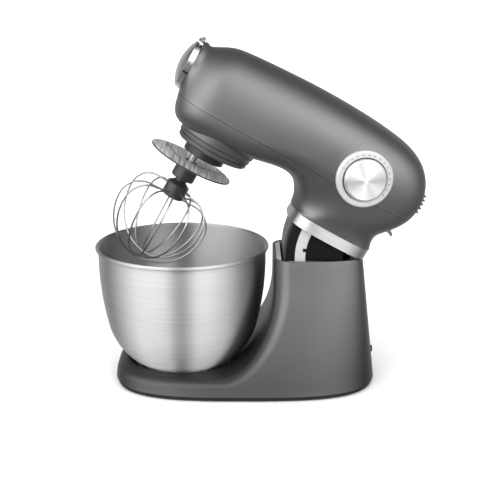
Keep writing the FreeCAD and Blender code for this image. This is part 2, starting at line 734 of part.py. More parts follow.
def plate_screws():
    items = []
    for x, y in SCREW_PLACES:
        item = screw(S.plate_screw_length)
        item.Placement = shift(x, y, S.foot_height + S.screw_head / 2).multiply(spun(X_AXIS, 180))
        items.append(item)
    return Part.makeCompound(items)


def base_shell():
    wall = S.base_wall
    shell = BASE_OUTER.cut(BASE_INNER)
    seat = dish(S.bowl_clearance + wall, S.seat_floor - wall, S.seat_radius + wall)
    bosses = []
    for x, y in SCREW_PLACES:
        bosses.append(disc(S.screw_boss, SHELL_FOOT, S.deck_height - SHELL_FOOT, x, y))
        outward = math.copysign(float(S.base_length) / 2, float(x))
        low, high = sorted((float(x), outward))
        rib = (y - S.rib_thickness / 2, y + S.rib_thickness / 2)
        bosses.append(block((low, rib[0], SHELL_FOOT), (high, rib[1], S.deck_height)))
    added = seat.multiFuse(bosses).common(BASE_OUTER)
    shell = shell.fuse(added)
    shell = shell.cut(dish(S.bowl_clearance, S.seat_floor, S.seat_radius))
    relief = S.hinge_x - S.back_relief
    behind = S.base_length / 2
    drop = (behind - relief) * sine(S.back_slope) / cosine(S.back_slope)
    top = S.column_height
    wedge = side_plate([(relief, top), (behind, top - drop), (behind, top + drop), (relief, top + drop)],
                       -S.base_width / 2, S.base_width / 2)
    gland = rod(S.gland_radius, point(S.column_back - S.gland_length, 0, S.gland_height),
                point(S.base_length, 0, S.gland_height))
    return shell.cut(wedge).cut(gland).cut(plate_screws())


def base_plate():
    inset = S.plate_inset
    length, width = S.base_length / 2 - inset, S.base_width / 2 - inset
    plate = oval_prism(-length, length, width, S.foot_height, S.plate_thickness, BASE_FULLNESS)
    for x, y in FOOT_PLACES:
        plate = plate.cut(disc(S.foot_radius, S.foot_height, S.foot_depth, x, y))
    return plate.cut(plate_screws())


subpart(solid_feature("base_shell", base_shell()))
subpart(solid_feature("base_plate", base_plate()))
subpart(solid_feature("plate_screws", plate_screws()))
FEET = []
for foot_x, foot_y in FOOT_PLACES:
    FEET.append(cylinder("foot", S.foot_radius, S.foot_height + S.foot_depth, shift(foot_x, foot_y, 0)))
subpart(group("rubber_feet", FEET))


def bowl_seat():
    inner = S.seat_radius - S.seat_ring
    body = tube("bowl_seat", S.seat_radius, inner, S.seat_floor, S.seat_height)
    doc.recompute()
    low = S.seat_floor + S.lug_height + S.free_gap * 2
    sketch = new_sketch(body, "XY_Plane", low)
    half = S.lug_width / 2
    outline(sketch, box_corners(S.foot_ring + S.free_gap * 3, -half, inner + S.seat_ring / 2, half))
    tab = pad(body, sketch, S.seat_height - S.lug_height - S.free_gap * 2)
    pattern_round(body, tab, Size(3, "3"))
    return body


subpart(bowl_seat(), ON_PLANET_AXIS)


def column_rim():
    bottom = S.column_height - S.rim_drop - S.rim_thickness
    slab = block((-S.base_length, -S.base_width, bottom),
                 (S.rim_back, S.base_width, S.column_height - S.rim_drop))
    slot = block((S.rim_front, -S.rim_half_width, 0), (S.base_length, S.rim_half_width, S.column_height))
    return one_solid(BASE_INNER.common(slab).cut(slot))


subpart(solid_feature("column_rim", column_rim()))

EAR_INNER = S.ear_outer - S.ear_thickness
ARM_OUTER = EAR_INNER - S.free_gap
ARM_INNER = ARM_OUTER - S.arm_thickness


def hinge_bracket():
    floor, thick = S.bracket_floor, S.ear_thickness
    front, back = S.hinge_x - S.bracket_length, S.hinge_x - S.ear_back
    room = BASE_INNER.common(block((front, -S.base_width, floor), (back, S.base_width, floor + thick)))
    for side in (-1, 1):
        moved = room.copy()
        moved.translate(point(0, S.fit_gap * side * 2, 0))
        room = room.common(moved)
    pieces = []
    for low, high in ((EAR_INNER, S.ear_outer), (-S.ear_outer, -EAR_INNER)):
        ear = block((back - S.ear_length, low, floor), (back, high, S.hinge_z))
        end = rod(S.knuckle_round, point(S.hinge_x, low, S.hinge_z), point(S.hinge_x, high, S.hinge_z))
        pieces += [ear, end]
    pin = rod(S.hinge_pin_radius, point(S.hinge_x, -S.ear_outer, S.hinge_z),
              point(S.hinge_x, S.ear_outer, S.hinge_z))
    return one_solid(room.multiFuse(pieces).cut(pin))


subpart(solid_feature("hinge_bracket", hinge_bracket()))
PIN_HALF = S.ear_outer + 1
subpart(cylinder("hinge_pin", S.hinge_pin_radius, PIN_HALF * 2, Placement()),
        shift(S.hinge_x, PIN_HALF, S.hinge_z).multiply(spun(X_AXIS, 90)))


def cord_gland():
    body = new_body("cord_gland")
    bore = S.gland_radius / 3
    revolve(body, [(bore, 0), (S.gland_radius, 0), (S.gland_radius, S.gland_length),
                   (S.gland_radius / 2, S.gland_length * 2), (bore, S.gland_length * 2)])
    return body


subpart(cord_gland(), shift(S.column_back, 0, S.gland_height).multiply(spun(Y_AXIS, 90)))


# Bowl.
def bowl():
    body = new_body("bowl")
    wall, floor = S.bowl_wall, S.bowl_floor

    def corner(bend, level):
        return CORNER_R + root(bend * bend - (CORNER_Z - level) * (CORNER_Z - level))

    def junction(bend):
        return CORNER_R + bend * cosine(S.side_turn), CORNER_Z - bend * sine(S.side_turn)

    outer, inner = S.corner_bend, S.corner_bend - wall
    revolve(body, [
        (0, floor),
        (corner(outer, floor), floor, -outer),
        junction(outer) + (-S.side_bend,),
        (S.bowl_radius, S.side_top),
        (S.bowl_radius, S.bowl_rim),
        (S.bowl_radius - wall, S.bowl_rim),
        (S.bowl_radius - wall, S.side_top, S.side_bend - wall),
        junction(inner) + (inner,),
        (corner(inner, floor + wall), floor + wall),
        (0, floor + wall),
    ])
    doc.recompute()
    sketch = new_sketch(body, "XZ_Plane")
    ring(sketch, S.bead_radius, S.bowl_radius + S.bead_reach, S.bowl_rim)
    bead = body.newObject("PartDesign::Revolution", "Bead")
    bead.Profile = sketch
    bead.ReferenceAxis = (sketch, ["V_Axis"])
    bead.Angle = 360
    return body


subpart(bowl(), ON_PLANET_AXIS)


def bowl_foot():
    low = S.seat_floor + S.free_gap
    body = tube("bowl_foot", S.foot_ring, S.foot_ring - S.foot_ring_width, low, S.bowl_floor - low)
    doc.recompute()
    sketch = new_sketch(body, "XY_Plane", low)
    half = S.lug_width / 2
    inner = S.foot_ring - S.foot_ring_width / 2
    outline(sketch, box_corners(inner, -half, S.foot_ring + S.lug_reach, half))
    lug = pad(body, sketch, S.lug_height)
    pattern_round(body, lug, Size(3, "3"))
    return body


subpart(bowl_foot(), ON_PLANET_AXIS)


# Head shells. The form runs through the sections, with a round pot under the nose.
def head_stations():
    """The sections of the head, evenly spread from nose to neck."""
    middle, half = float(S.head_middle), float(S.head_half_width)
    neck = float(NECK_BASE) - middle
    first, last = HEAD_SECTIONS[0], HEAD_SECTIONS[-1]
    ahead = float(S.nose_x) / first[0]
    throat, behind, rise = float(S.neck_front) / last[0], float(S.neck_back) / last[2], neck / last[1]
    rows = []
    for low_x, low_rise, high_x, high_rise, share, belly, *fullness in HEAD_SECTIONS:
        low_x *= ahead if low_x < 0 else throat
        high_x *= ahead if high_x < 0 else behind
        rows.append([low_x, low_rise * rise, high_x, high_rise * rise, belly, share * half] + fullness)
    rows[-1][5] = float(S.neck_half_width)
    lows = [Vector(row[0], 0, middle + row[1]) for row in rows]
    highs = [Vector(row[2], 0, middle + row[3]) for row in rows]
    bellies = [low + (high - low) * row[4] for low, high, row in zip(lows, highs, rows)]
    laws = [Vector(*row[5:]) for row in rows]
    ways = [0.0]
    for index in range(1, len(rows)):
        step = (lows[index] - lows[index - 1]).Length + (highs[index] - highs[index - 1]).Length
        ways.append(ways[-1] + step / 2)
    curves = []
    for points in (lows, highs, bellies, laws):
        curve = Part.BSplineCurve()
        curve.interpolate(Points=points, Parameters=ways)
        curves.append(curve)
    spots = [ways[-1] * step / (HEAD_STATIONS - 1) for step in range(HEAD_STATIONS)]
    return [[curve.value(spot) for curve in curves] for spot in spots]


def head_form(inset):
    grid = []
    last = HEAD_STATIONS - 1
    for index, (low, high, belly, law) in enumerate(head_stations()):
        if index == 0:
            low, high, belly = [spot + Vector(inset, 0, 0) for spot in (low, high, belly)]
        if index == last and inset:
            low, high, belly = [spot - Z_AXIS for spot in (low, high, belly)]
        rise = (high - low).normalize()
        down, up = belly - low - rise * inset, high - belly - rise * inset
        row = []
        for step in range(HEAD_POINTS + 1):
            angle = 2 * math.pi * step / HEAD_POINTS
            fullness, reach = (law.z, down) if math.cos(angle) > 0 else (law.y, up)
            sideways = Vector(0, (law.x - inset) * bent(math.sin(angle), fullness), 0)
            row.append(belly - reach * bent(math.cos(angle), fullness) - sideways)
        grid.append(row)
    surface = Part.BSplineSurface()
    surface.interpolate(grid)
    bounds = surface.bounds()
    caps = [Part.Face(Part.Wire(surface.uIso(end).toShape())) for end in bounds[:2]]
    shell = Part.makeShell([surface.toShape()] + caps)
    shell.sewShape()
    form = Part.makeSolid(shell)
    if form.Volume < 0:
        form.reverse()
    radius, floor = S.pot_radius - inset, S.pot_floor + inset
    brim = S.seam_height + S.pot_flare * 2
    edge = S.pot_edge
    return form.fuse(turned([(0, floor), (radius - edge, floor), (radius, floor + edge),
                             (radius + S.pot_flare, S.seam_height),
                             (radius + S.pot_flare + edge / 2, brim), (0, brim)], S.bowl_x))


HEAD_OUTER = head_form(0)
HEAD_INNER = head_form(float(S.head_wall))


def half_shell(low, high):
    slab = block((-S.base_length * 2, -S.base_width, low), (S.base_length * 2, S.base_width, high))
    return HEAD_OUTER.common(slab).cut(HEAD_INNER.common(slab))


def dial_pocket():
    pocket_shape = disc(S.dial_radius + S.free_gap, -S.dial_depth * 2, S.dial_depth * 4)
    pocket_shape.Placement = ON_DIAL
    return pocket_shape


def seam_screws():
    """Two screws through the throat, one from each side, their heads on the shell."""
    items = []
    for side in (-1, 1):
        way = Part.makeLine(point(S.throat_screw_x, S.base_width * side, S.throat_screw_z),
                            point(S.throat_screw_x, 0, S.throat_screw_z))
        wall = max(abs(vertex.Y) for vertex in way.common(HEAD_OUTER).Vertexes)
        item = screw(S.plate_screw_length)
        seat = shift(S.throat_screw_x, side * (wall - float(S.screw_head) / 2), S.throat_screw_z)
        item.Placement = seat.multiply(spun(X_AXIS, -90 * side))
        items.append(item)
    return Part.makeCompound(items)


def head_upper_shell():
    shell = half_shell(S.seam_height + S.seam_gap / 2, S.column_height * 3).cut(dial_pocket())
    hub = rod(S.hub_radius, point(S.nose_x * 2, 0, S.cap_level), point(S.nose_x / 2, 0, S.cap_level))
    shell = shell.cut(hub)
    half = S.vent_width / 2
    for step in range(int(S.vent_count.value)):
        low = S.vent_low + S.vent_pitch * step
        shell = shell.cut(block((S.neck_back, -half, low), (S.neck_back * 2, half, low + S.vent_height)))
    return one_solid(shell)


def head_lower_shell():
    shell = half_shell(S.column_height, S.seam_height - S.seam_gap / 2).cut(dial_pocket())
    shell = shell.cut(disc(S.ring_gear_radius + S.free_gap, S.pot_floor - 1, S.head_wall * 2, S.bowl_x))
    half = S.lever_half_width + S.free_gap * 3
    shell = shell.cut(block((S.lever_x, -half, S.lever_z - S.lever_slot / 2),
                            (S.lever_x * 2, half, S.lever_z + S.lever_slot * 0.8)))
    return one_solid(shell.cut(seam_screws()))


subpart(solid_feature("head_upper_shell", head_upper_shell()), in_head())
subpart(solid_feature("head_lower_shell", head_lower_shell()), in_head())
subpart(solid_feature("seam_screws", seam_screws()), in_head())


def neck_oval(inset, bottom, height):
    return oval_prism(S.neck_front + inset, S.neck_back - inset, S.neck_half_width - inset,
                      bottom, height, NECK_FULLNESS)


BAND_BOTTOM = S.column_height + S.neck_gap
subpart(solid_feature("neck_band", neck_oval(0, BAND_BOTTOM, S.band_height).cut(
    neck_oval(S.band_wall, BAND_BOTTOM, S.band_height))), in_head())


def hinge_sector(inner, outer, above, below, low_y, high_y):
    """A block bent round the hinge, in front of it, between two angles from the level."""

    def at(radius, degrees):
        angle = math.radians(float(degrees))
        return point(S.hinge_x - radius * math.cos(angle), low_y, S.hinge_z - radius * math.sin(angle))

    above, below = -float(above), float(below)
    middle = (above + below) / 2
    edges = [
        Part.Arc(at(outer, above), at(outer, middle), at(outer, below)).toShape(),
        Part.makeLine(at(outer, below), at(inner, below)),
        Part.Arc(at(inner, below), at(inner, middle), at(inner, above)).toShape(),
        Part.makeLine(at(inner, above), at(outer, above)),
    ]
    return Part.Face(Part.Wire(edges)).extrude(point(0, high_y - low_y, 0))


def below_flange(shape):
    return shape.common(block((-S.base_length, -S.base_width, 0),
                              (S.base_length, S.base_width, S.flange_level)))


def neck_skirt():
    wall, half = S.skirt_wall, S.skirt_half_width
    rise = S.skirt_sweep / 2
    skirt = below_flange(hinge_sector(S.skirt_heel, S.skirt_radius, rise, S.skirt_sweep, -half, half))
    skirt = skirt.common(neck_oval(S.band_wall + S.fit_gap * 2, 0, S.flange_level))
    tilt = math.degrees(float(wall) / float(S.skirt_heel + S.skirt_radius) * 2)
    hollow = hinge_sector(S.skirt_heel + wall, S.skirt_radius - wall, rise * 2, float(S.skirt_sweep) - tilt,
                          -half + wall, half - wall)
    back = S.hinge_x - S.skirt_heel
    flange = neck_oval(S.band_wall + S.fit_gap, S.flange_level, S.flange_depth)
    flange = flange.common(block((0, -S.base_width, 0), (back, S.base_width, S.column_height * 2)))
    return one_solid(skirt.fuse(flange).cut(hollow))


subpart(solid_feature("neck_skirt", neck_skirt()), in_head())
COVER_OUTER = S.skirt_radius + S.cover_thickness
COVER_SHARE = 0.94
FRONT_COVER = hinge_sector(S.skirt_radius, COVER_OUTER, S.skirt_sweep / 2, S.skirt_sweep * COVER_SHARE,
                           -S.cover_half_width, S.cover_half_width)
subpart(solid_feature("skirt_front_cover", below_flange(FRONT_COVER)), in_head())


def latch_strut():
    half = S.skirt_half_width
    strut = below_flange(hinge_sector(S.strut_inner, S.strut_outer, S.skirt_sweep / 2, S.skirt_sweep,
                                      -half - S.strut_thickness, -half))
    notch_angle = S.head_tilt / 2 + S.strut_notch
    notch = hinge_sector(S.strut_inner - S.strut_notch, S.strut_inner + S.strut_notch, -notch_angle,
                         notch_angle + S.strut_notch, -half * 2, 0)
    return strut.cut(notch)


subpart(solid_feature("latch_strut", latch_strut()), in_head())


# Drive in the head: housing and plate, shaft, pulleys, belt, motor.
FLANGE_TOP = S.pot_floor + S.head_wall + S.flange_thickness


def gear_housing():
    body = new_body("gear_housing")
    low = S.pot_floor + S.head_wall
    revolve(body, [(S.bearing_radius, low), (S.housing_flange, low), (S.housing_flange, FLANGE_TOP),
                   (S.housing_radius, FLANGE_TOP), (S.housing_radius, S.plate_level),
                   (S.bearing_radius, S.plate_level)])
    return body


subpart(gear_housing(), in_head(ON_PLANET_AXIS))


def drive_plate():
    body = new_body("drive_plate")
    sketch = new_sketch(body, "XY_Plane", S.plate_level)
    half = S.plate_half_width
    outline(sketch, box_corners(S.bowl_x - S.housing_radius, -half, S.motor_x + S.bridge_radius, half))
    pad(body, sketch, S.plate_depth)
    holes = new_sketch(body, "XY_Plane", S.plate_level)
    ring(holes, S.bearing_radius, S.bowl_x)
    ring(holes, S.motor_bearing_radius, S.motor_x)
    pocket(body, holes, S.plate_depth, backwards=True)
    return body


subpart(drive_plate(), in_head())


def bearing_pair(label, outer, bore, height, levels, place):
    members = []
    for level in levels:
        ring_body = tube(label + "_ring", outer, bore, level, height)
        members.append(ring_body)
    return subpart(group(label, members), place)


bearing_pair("shaft_bearings", S.bearing_radius, S.drive_shaft_radius + S.running_gap, S.bearing_height,
             (S.pot_floor + S.head_wall, S.plate_level - S.bearing_height), in_head(ON_PLANET_AXIS))
bearing_pair("motor_bearings", S.motor_bearing_radius, S.motor_shaft_radius + S.running_gap,
             S.bridge_thickness, (S.bridge_level, S.plate_level), in_head(ON_MOTOR_AXIS))


def motor_frame():
    low, top = S.bridge_level, S.bridge_level + S.bridge_thickness
    frame = disc(S.bridge_radius, low, S.bridge_thickness, S.motor_x)
    posts = []
    for quarter in range(4):
        angle = math.pi / 4 + quarter * math.pi / 2
        x = S.motor_x + S.post_circle * math.cos(angle)
        posts.append(disc(S.post_radius, low, S.plate_level - low, x, S.post_circle * math.sin(angle)))
    board_tab = S.switch_size / 4
    posts.append(block((S.board_x, -board_tab, low), (S.motor_x - S.motor_bearing_radius, board_tab, top)))
    eye = S.knuckle_round
    cuts = []
    for inner, outer in ((ARM_INNER, ARM_OUTER), (-ARM_OUTER, -ARM_INNER)):
        posts.append(side_plate([
            (S.hinge_x - eye, S.hinge_z), (S.hinge_x + eye, S.hinge_z), (S.hinge_x, S.hinge_z + eye * 3),
            (S.lever_x, S.lever_z - eye), (S.lever_x + eye, S.lever_z),
            (S.lever_x, S.lever_z + eye), (S.motor_x + S.motor_bearing_radius * 2, top),
            (S.motor_x + S.motor_bearing_radius * 2, low), (S.hinge_x - eye, low)], inner, outer))
        posts.append(rod(eye, point(S.hinge_x, inner, S.hinge_z), point(S.hinge_x, outer, S.hinge_z)))
        cuts.append(rod(S.hinge_pin_radius + S.running_gap, point(S.hinge_x, inner - 1, S.hinge_z),
                        point(S.hinge_x, outer + 1, S.hinge_z)))
        cuts.append(rod(S.lever_pin_radius, point(S.lever_x, inner - 1, S.lever_z),
                        point(S.lever_x, outer + 1, S.lever_z)))
    cuts.append(disc(S.motor_bearing_radius, low, S.bridge_thickness, S.motor_x))
    return one_solid(frame.multiFuse(posts).cut(cuts[0].multiFuse(cuts[1:])))


subpart(solid_feature("motor_frame", motor_frame()), in_head())
STATOR = tube("motor_stator", S.stator_radius, S.rotor_radius + S.air_gap, S.motor_bottom, S.motor_height)
subpart(STATOR, in_head(ON_MOTOR_AXIS))
ROTOR = tube("motor_rotor", S.rotor_radius, S.motor_shaft_radius, S.motor_bottom - 1, S.motor_height + 2)
subpart(ROTOR, in_head(ON_MOTOR_AXIS))
SHAFT_TOP = S.pulley_level + S.pulley_height + 1
FAN_LEVEL = S.bridge_level - S.fan_height - 3
MOTOR_SHAFT = tube("motor_shaft", S.motor_shaft_radius, None, FAN_LEVEL - 2, SHAFT_TOP - FAN_LEVEL + 2)
subpart(MOTOR_SHAFT, in_head(ON_MOTOR_AXIS))


def cooling_fan():
    hub = S.motor_bearing_radius
    body = tube("cooling_fan", hub, S.motor_shaft_radius, FAN_LEVEL, S.fan_height)
    doc.recompute()
    sketch = new_sketch(body, "XY_Plane", FAN_LEVEL)
    outline(sketch, box_corners(hub - 1, -S.fan_blade / 2, S.fan_radius, S.fan_blade / 2))
    blade = pad(body, sketch, S.fan_height)
    pattern_round(body, blade, S.fan_blades)
    return body


subpart(cooling_fan(), in_head(ON_MOTOR_AXIS))


def pulley(label, seat, shaft):
    body = new_body(label)
    low, high = S.pulley_level, S.pulley_level + S.pulley_height
    rim = seat + S.pulley_rim + S.free_gap
    revolve(body, [(shaft, low), (rim, low), (rim, low + S.pulley_rim), (seat, low + S.pulley_rim),
                   (seat, high - S.pulley_rim), (rim, high - S.pulley_rim), (rim, high), (shaft, high)])
    return body


subpart(pulley("motor_pulley", S.motor_pulley_radius, S.motor_shaft_radius), in_head(ON_MOTOR_AXIS))
subpart(pulley("drive_pulley", S.drive_pulley_radius, S.drive_shaft_radius), in_head(ON_PLANET_AXIS))


def belt_loop(extra):
    """The outline round both pulleys at a distance from their belt seats."""
    large, small = float(S.drive_pulley_radius) + extra, float(S.motor_pulley_radius) + extra
    near, far = point(S.bowl_x, 0, 0), point(S.motor_x, 0, 0)
    lean = math.acos((large - small) / (far - near).Length)
    up = Vector(math.cos(lean), math.sin(lean), 0)
    down = Vector(up.x, -up.y, 0)
    edges = [
        Part.Arc(near + up * large, near - X_AXIS * large, near + down * large).toShape(),
        Part.makeLine(near + down * large, far + down * small),
        Part.Arc(far + down * small, far + X_AXIS * small, far + up * small).toShape(),
        Part.makeLine(far + up * small, near + up * large),
    ]
    return Part.Face(Part.Wire(edges))


def drive_belt():
    gap = float(S.free_gap)
    band = belt_loop(gap + float(S.belt_thickness)).cut(belt_loop(gap))
    inset = S.pulley_rim + S.free_gap
    belt = band.Faces[0].extrude(point(0, 0, S.pulley_height - inset * 2))
    belt.translate(point(0, 0, S.pulley_level + inset))
    return belt


subpart(solid_feature("drive_belt", drive_belt()), in_head())


# Planetary gear.
def gear_outline(teeth, tip, base, slack, turn):
    """The closed outline of involute teeth, thinned by the slack, the first tooth turned to an angle."""
    pitch = float(S.gear_module) * teeth / 2
    inner_circle = pitch * math.cos(PRESSURE_ANGLE)
    half = math.pi / (2 * teeth) - slack / (2 * pitch)
    spread = math.tan(PRESSURE_ANGLE) - PRESSURE_ANGLE

    def lean(radius):
        contact = math.acos(min(1, inner_circle / radius))
        return half + spread - (math.tan(contact) - contact)

    flank = [base, max(base, inner_circle) * 0.5 + pitch * 0.5, (pitch + tip) / 2, tip]
    points = []
    for tooth in range(teeth):
        middle = turn + 2 * math.pi * tooth / teeth
        points += [(radius, middle - lean(radius)) for radius in flank]
        points += [(radius, middle + lean(radius)) for radius in reversed(flank)]
    corners = [Vector(radius * math.cos(angle), radius * math.sin(angle), 0) for radius, angle in points]
    return Part.Face(Part.makePolygon(corners + corners[:1]))


def ring_gear():
    module, teeth = float(S.gear_module), int(S.ring_teeth.value)
    pitch, slack = module * teeth / 2, float(S.gear_backlash) / 2
    bottom, top = S.gear_bottom, S.pot_floor + S.head_wall
    teeth_cut = gear_outline(teeth, pitch + module * 1.25, pitch - module * 0.75, -slack, math.pi)
    cutter = teeth_cut.extrude(point(0, 0, top - bottom))
    cutter.translate(point(0, 0, bottom))
    return disc(S.ring_gear_radius, bottom, top - bottom).cut(cutter)


def planet_gear():
    module, teeth = float(S.gear_module), int(S.planet_teeth.value)
    pitch, slack = module * teeth / 2, float(S.gear_backlash) / 2
    teeth_face = gear_outline(teeth, pitch + module * 0.9, pitch - module * 1.25, slack, math.pi)
    gear = teeth_face.extrude(point(0, 0, S.gear_width))
    gear.translate(point(0, 0, S.gear_bottom))
    return gear.cut(disc(S.tool_shaft_radius, S.gear_bottom, S.gear_width))


subpart(solid_feature("ring_gear", ring_gear()), in_head(ON_PLANET_AXIS))


def trim_ring():
    body = new_body("trim_ring")
    top = S.pot_floor
    low = top - S.trim_height
    step = S.trim_height / 4
    lip, groove = S.trim_radius - step / 2, S.trim_radius - step
    revolve(body, [(S.trim_bore, low), (groove, low), (lip, low + step / 2), (lip, low + step * 2),
                   (groove, low + step * 2), (groove, low + step * 2.5), (S.trim_radius, low + step * 2.5),
                   (S.trim_radius, top), (S.trim_bore, top)])
    return body


subpart(trim_ring(), in_head(ON_PLANET_AXIS))
SHAFT_LOW = S.carrier_bottom + 2
DRIVE_SHAFT = tube("drive_shaft", S.drive_shaft_radius, None, SHAFT_LOW, SHAFT_TOP - SHAFT_LOW)
subpart(DRIVE_SHAFT, in_head(ON_PLANET_AXIS))
BUSH_BORE = S.tool_shaft_radius + S.running_gap
BUSH_RADIUS = BUSH_BORE + S.bush_wall


def planet_carrier():
    body = new_body("planet_carrier")
    sketch = new_sketch(body, "XY_Plane", S.carrier_bottom)
    ring(sketch, S.carrier_radius, -S.carrier_shift)
    ring(sketch, BUSH_RADIUS, -THROW)
    pad(body, sketch, S.carrier_height)
    bore = new_sketch(body, "XY_Plane", S.carrier_bottom + 2)
    ring(bore, S.drive_shaft_radius)
    pocket(body, bore, S.carrier_height, backwards=True)
    return body


subpart(planet_carrier(), in_head(ON_PLANET_AXIS))
CARRIER_BUSH = tube("carrier_bush", BUSH_RADIUS, BUSH_BORE, S.carrier_bottom, S.carrier_height)
subpart(CARRIER_BUSH, in_head(ON_TOOL_AXIS))
subpart(solid_feature("planet_gear", planet_gear()), in_head(ON_TOOL_AXIS))


ARBOR_FOOT = S.carrier_bottom + S.carrier_height / 2
ARBOR = tube("gear_arbor", S.tool_shaft_radius, None, ARBOR_FOOT, S.gear_bottom + S.gear_width - ARBOR_FOOT)
subpart(ARBOR, in_head(ON_TOOL_AXIS))


def tool_shaft():
    body = tube("tool_shaft", S.tool_shaft_radius, None, S.tool_shaft_bottom, ARBOR_FOOT - S.tool_shaft_bottom)
    sketch = new_sketch(body, "XZ_Plane")
    ring(sketch, S.cross_pin_radius, 0, S.cross_pin_height)
    pocket(body, sketch, S.tool_shaft_radius * 4, centred=True)
    return body


subpart(tool_shaft(), in_head(ON_TOOL_AXIS))
CROSSWAYS = shift(0, S.cross_pin_length / 2, S.cross_pin_height).multiply(spun(X_AXIS, 90))
subpart(cylinder("cross_pin", S.cross_pin_radius, S.cross_pin_length, Placement()),
        in_head(ON_TOOL_AXIS).multiply(CROSSWAYS))


# Whisk.
def wire_loop(index):
    """One wire: out of the hub, over a shoulder, down and round the tip to the other side."""
    lift = float(S.wire_step) * index
    reach, bend, inside = float(S.balloon_radius), float(S.shoulder_bend), float(S.hub_lower_radius) * 0.6
    top = float(S.hub_top - S.hub_height) + float(S.wire_radius) + 0.5 + lift
    turn, tip = top - bend, float(S.whisk_tip) + lift

    def half(side):
        return [
            Part.makeLine(Vector(side * inside, 0, top), Vector(side * (reach - bend), 0, top)),
            Part.Arc(Vector(side * (reach - bend), 0, top),
                     Vector(side * (reach - bend + bend * math.sqrt(0.5)), 0, turn + bend * math.sqrt(0.5)),
                     Vector(side * reach, 0, turn)).toShape(),
        ]

    middle, side_end, tip_end = Vector(0, 0, turn), Vector(reach, 0, turn), Vector(0, 0, tip)
    if turn - tip > reach:
        belly = Part.ArcOfEllipse(Part.Ellipse(tip_end, side_end, middle), -math.pi / 2, math.pi / 2)
    else:
        belly = Part.ArcOfEllipse(Part.Ellipse(side_end, tip_end, middle), 0, math.pi)
    edges = half(-1) + [belly.toShape()] + half(1)
    path = Part.Wire(Part.__sortEdges__(edges))
    start = path.OrderedVertexes[0].Point
    section = Part.Wire(Part.makeCircle(float(S.wire_radius), start, X_AXIS))
    loop = path.makePipeShell([section], True, True)
    loop.rotate(Vector(), Z_AXIS, 180 / S.wire_loops.value * index)
    return loop


WIRES = Part.makeCompound([wire_loop(index) for index in range(int(S.wire_loops.value))])


def whisk_hub():
    low, top = S.hub_top - S.hub_height, S.hub_top
    band, edge = S.hub_height / 10, S.hub_lower_radius / 8
    waist_low, waist_high = low + band * 4.6, low + band * 5.7
    hub = turned([
        (0, low), (S.hub_lower_radius - edge, low), (S.hub_lower_radius, low + edge),
        (S.hub_lower_radius, waist_low - band), (S.hub_waist_radius, waist_low),
        (S.hub_waist_radius, waist_high), (S.hub_upper_radius, waist_high + band),
        (S.hub_upper_radius, top), (0, top)])
    bore = S.tool_shaft_radius + S.running_gap
    hub = hub.cut(disc(bore, S.tool_shaft_bottom - S.free_gap, S.hub_height))
    slot = S.cross_pin_radius + S.free_gap
    reach = S.cross_pin_length / 2 + S.free_gap
    hub = hub.cut(block((-slot, -reach, S.cross_pin_height - slot), (slot, reach, top + 1)))
    return one_solid(hub.cut(WIRES))


subpart(solid_feature("whisk_hub", whisk_hub()), in_head(ON_TOOL_AXIS))
subpart(solid_feature("whisk_wires", WIRES), in_head(ON_TOOL_AXIS))
DISC_BORE = S.cross_pin_length / 2 + S.free_gap * 2
subpart(tube("splash_disc", S.disc_radius, DISC_BORE, S.hub_top, S.disc_thickness), in_head(ON_TOOL_AXIS))


# Attachment hub and its cap. Local Z points forward out of the nose, local X points up.
FACE = -S.nose_x
CAP_BACK = FACE + S.bezel_thickness + S.free_gap
PIN_OUT = FACE + S.bezel_thickness / 2
KNUCKLE = S.cap_pin_radius * 2.2
EYE_HALF = S.cap_radius / 6
EAR_HALF = EYE_HALF * 2


def cross_rod(radius, half):
    """A round bar along Y at the cap's hinge, in the cap's frame."""
    return rod(radius, point(S.cap_pin_rise, -half, PIN_OUT), point(S.cap_pin_rise, half, PIN_OUT))


def hub_bezel():
    bezel = disc(S.cap_radius + 1, FACE, S.bezel_thickness)
    lug = block((S.cap_radius - 3, -EAR_HALF, FACE), (S.cap_pin_rise, EAR_HALF, FACE + S.bezel_thickness))
    middle = block((S.cap_radius + 1, -EYE_HALF - S.free_gap, 0),
                   (S.cap_radius * 2, EYE_HALF + S.free_gap, FACE * 2))
    bezel = bezel.fuse(lug).fuse(cross_rod(KNUCKLE, EAR_HALF)).cut(middle)
    space = disc(KNUCKLE + S.free_gap, -EYE_HALF - S.free_gap, (EYE_HALF + S.free_gap) * 2)
    space.Placement = shift(S.cap_pin_rise, 0, PIN_OUT).multiply(spun(X_AXIS, 90))
    bezel = bezel.cut(space).cut(cross_rod(S.cap_pin_radius, EAR_HALF * 2))
    return one_solid(bezel.cut(disc(S.hub_bore, 0, FACE * 2)))


def hub_cap():
    rim, bulge = CAP_BACK + S.cap_rim, CAP_BACK + S.cap_rim + S.cap_bulge
    bend = (float(S.cap_radius) ** 2 + float(S.cap_bulge) ** 2) / (2 * float(S.cap_bulge))
    dome = Part.makeSphere(bend, point(0, 0, bulge - bend)).common(disc(S.cap_radius, rim, S.cap_bulge))
    cap = disc(S.cap_radius, CAP_BACK, S.cap_rim).fuse(dome)
    arm = block((S.cap_radius - 4, -EYE_HALF, CAP_BACK), (S.cap_pin_rise, EYE_HALF, rim))
    cap = cap.fuse(arm).fuse(cross_rod(KNUCKLE, EYE_HALF))
    return one_solid(cap.cut(cross_rod(S.cap_pin_radius + S.running_gap, EAR_HALF)))


subpart(solid_feature("hub_bezel", hub_bezel()), in_head(ON_CAP_AXIS))
subpart(solid_feature("hub_cap", hub_cap()), in_head(ON_CAP_AXIS))
subpart(tube("hub_socket", S.hub_radius, S.hub_bore, FACE - S.hub_depth, S.hub_depth), in_head(ON_CAP_AXIS))
subpart(cylinder("cap_pin", S.cap_pin_radius, EAR_HALF * 2, Placement()),
        in_head(ON_CAP_AXIS).multiply(shift(S.cap_pin_rise, EAR_HALF, PIN_OUT)).multiply(spun(X_AXIS, 90)))


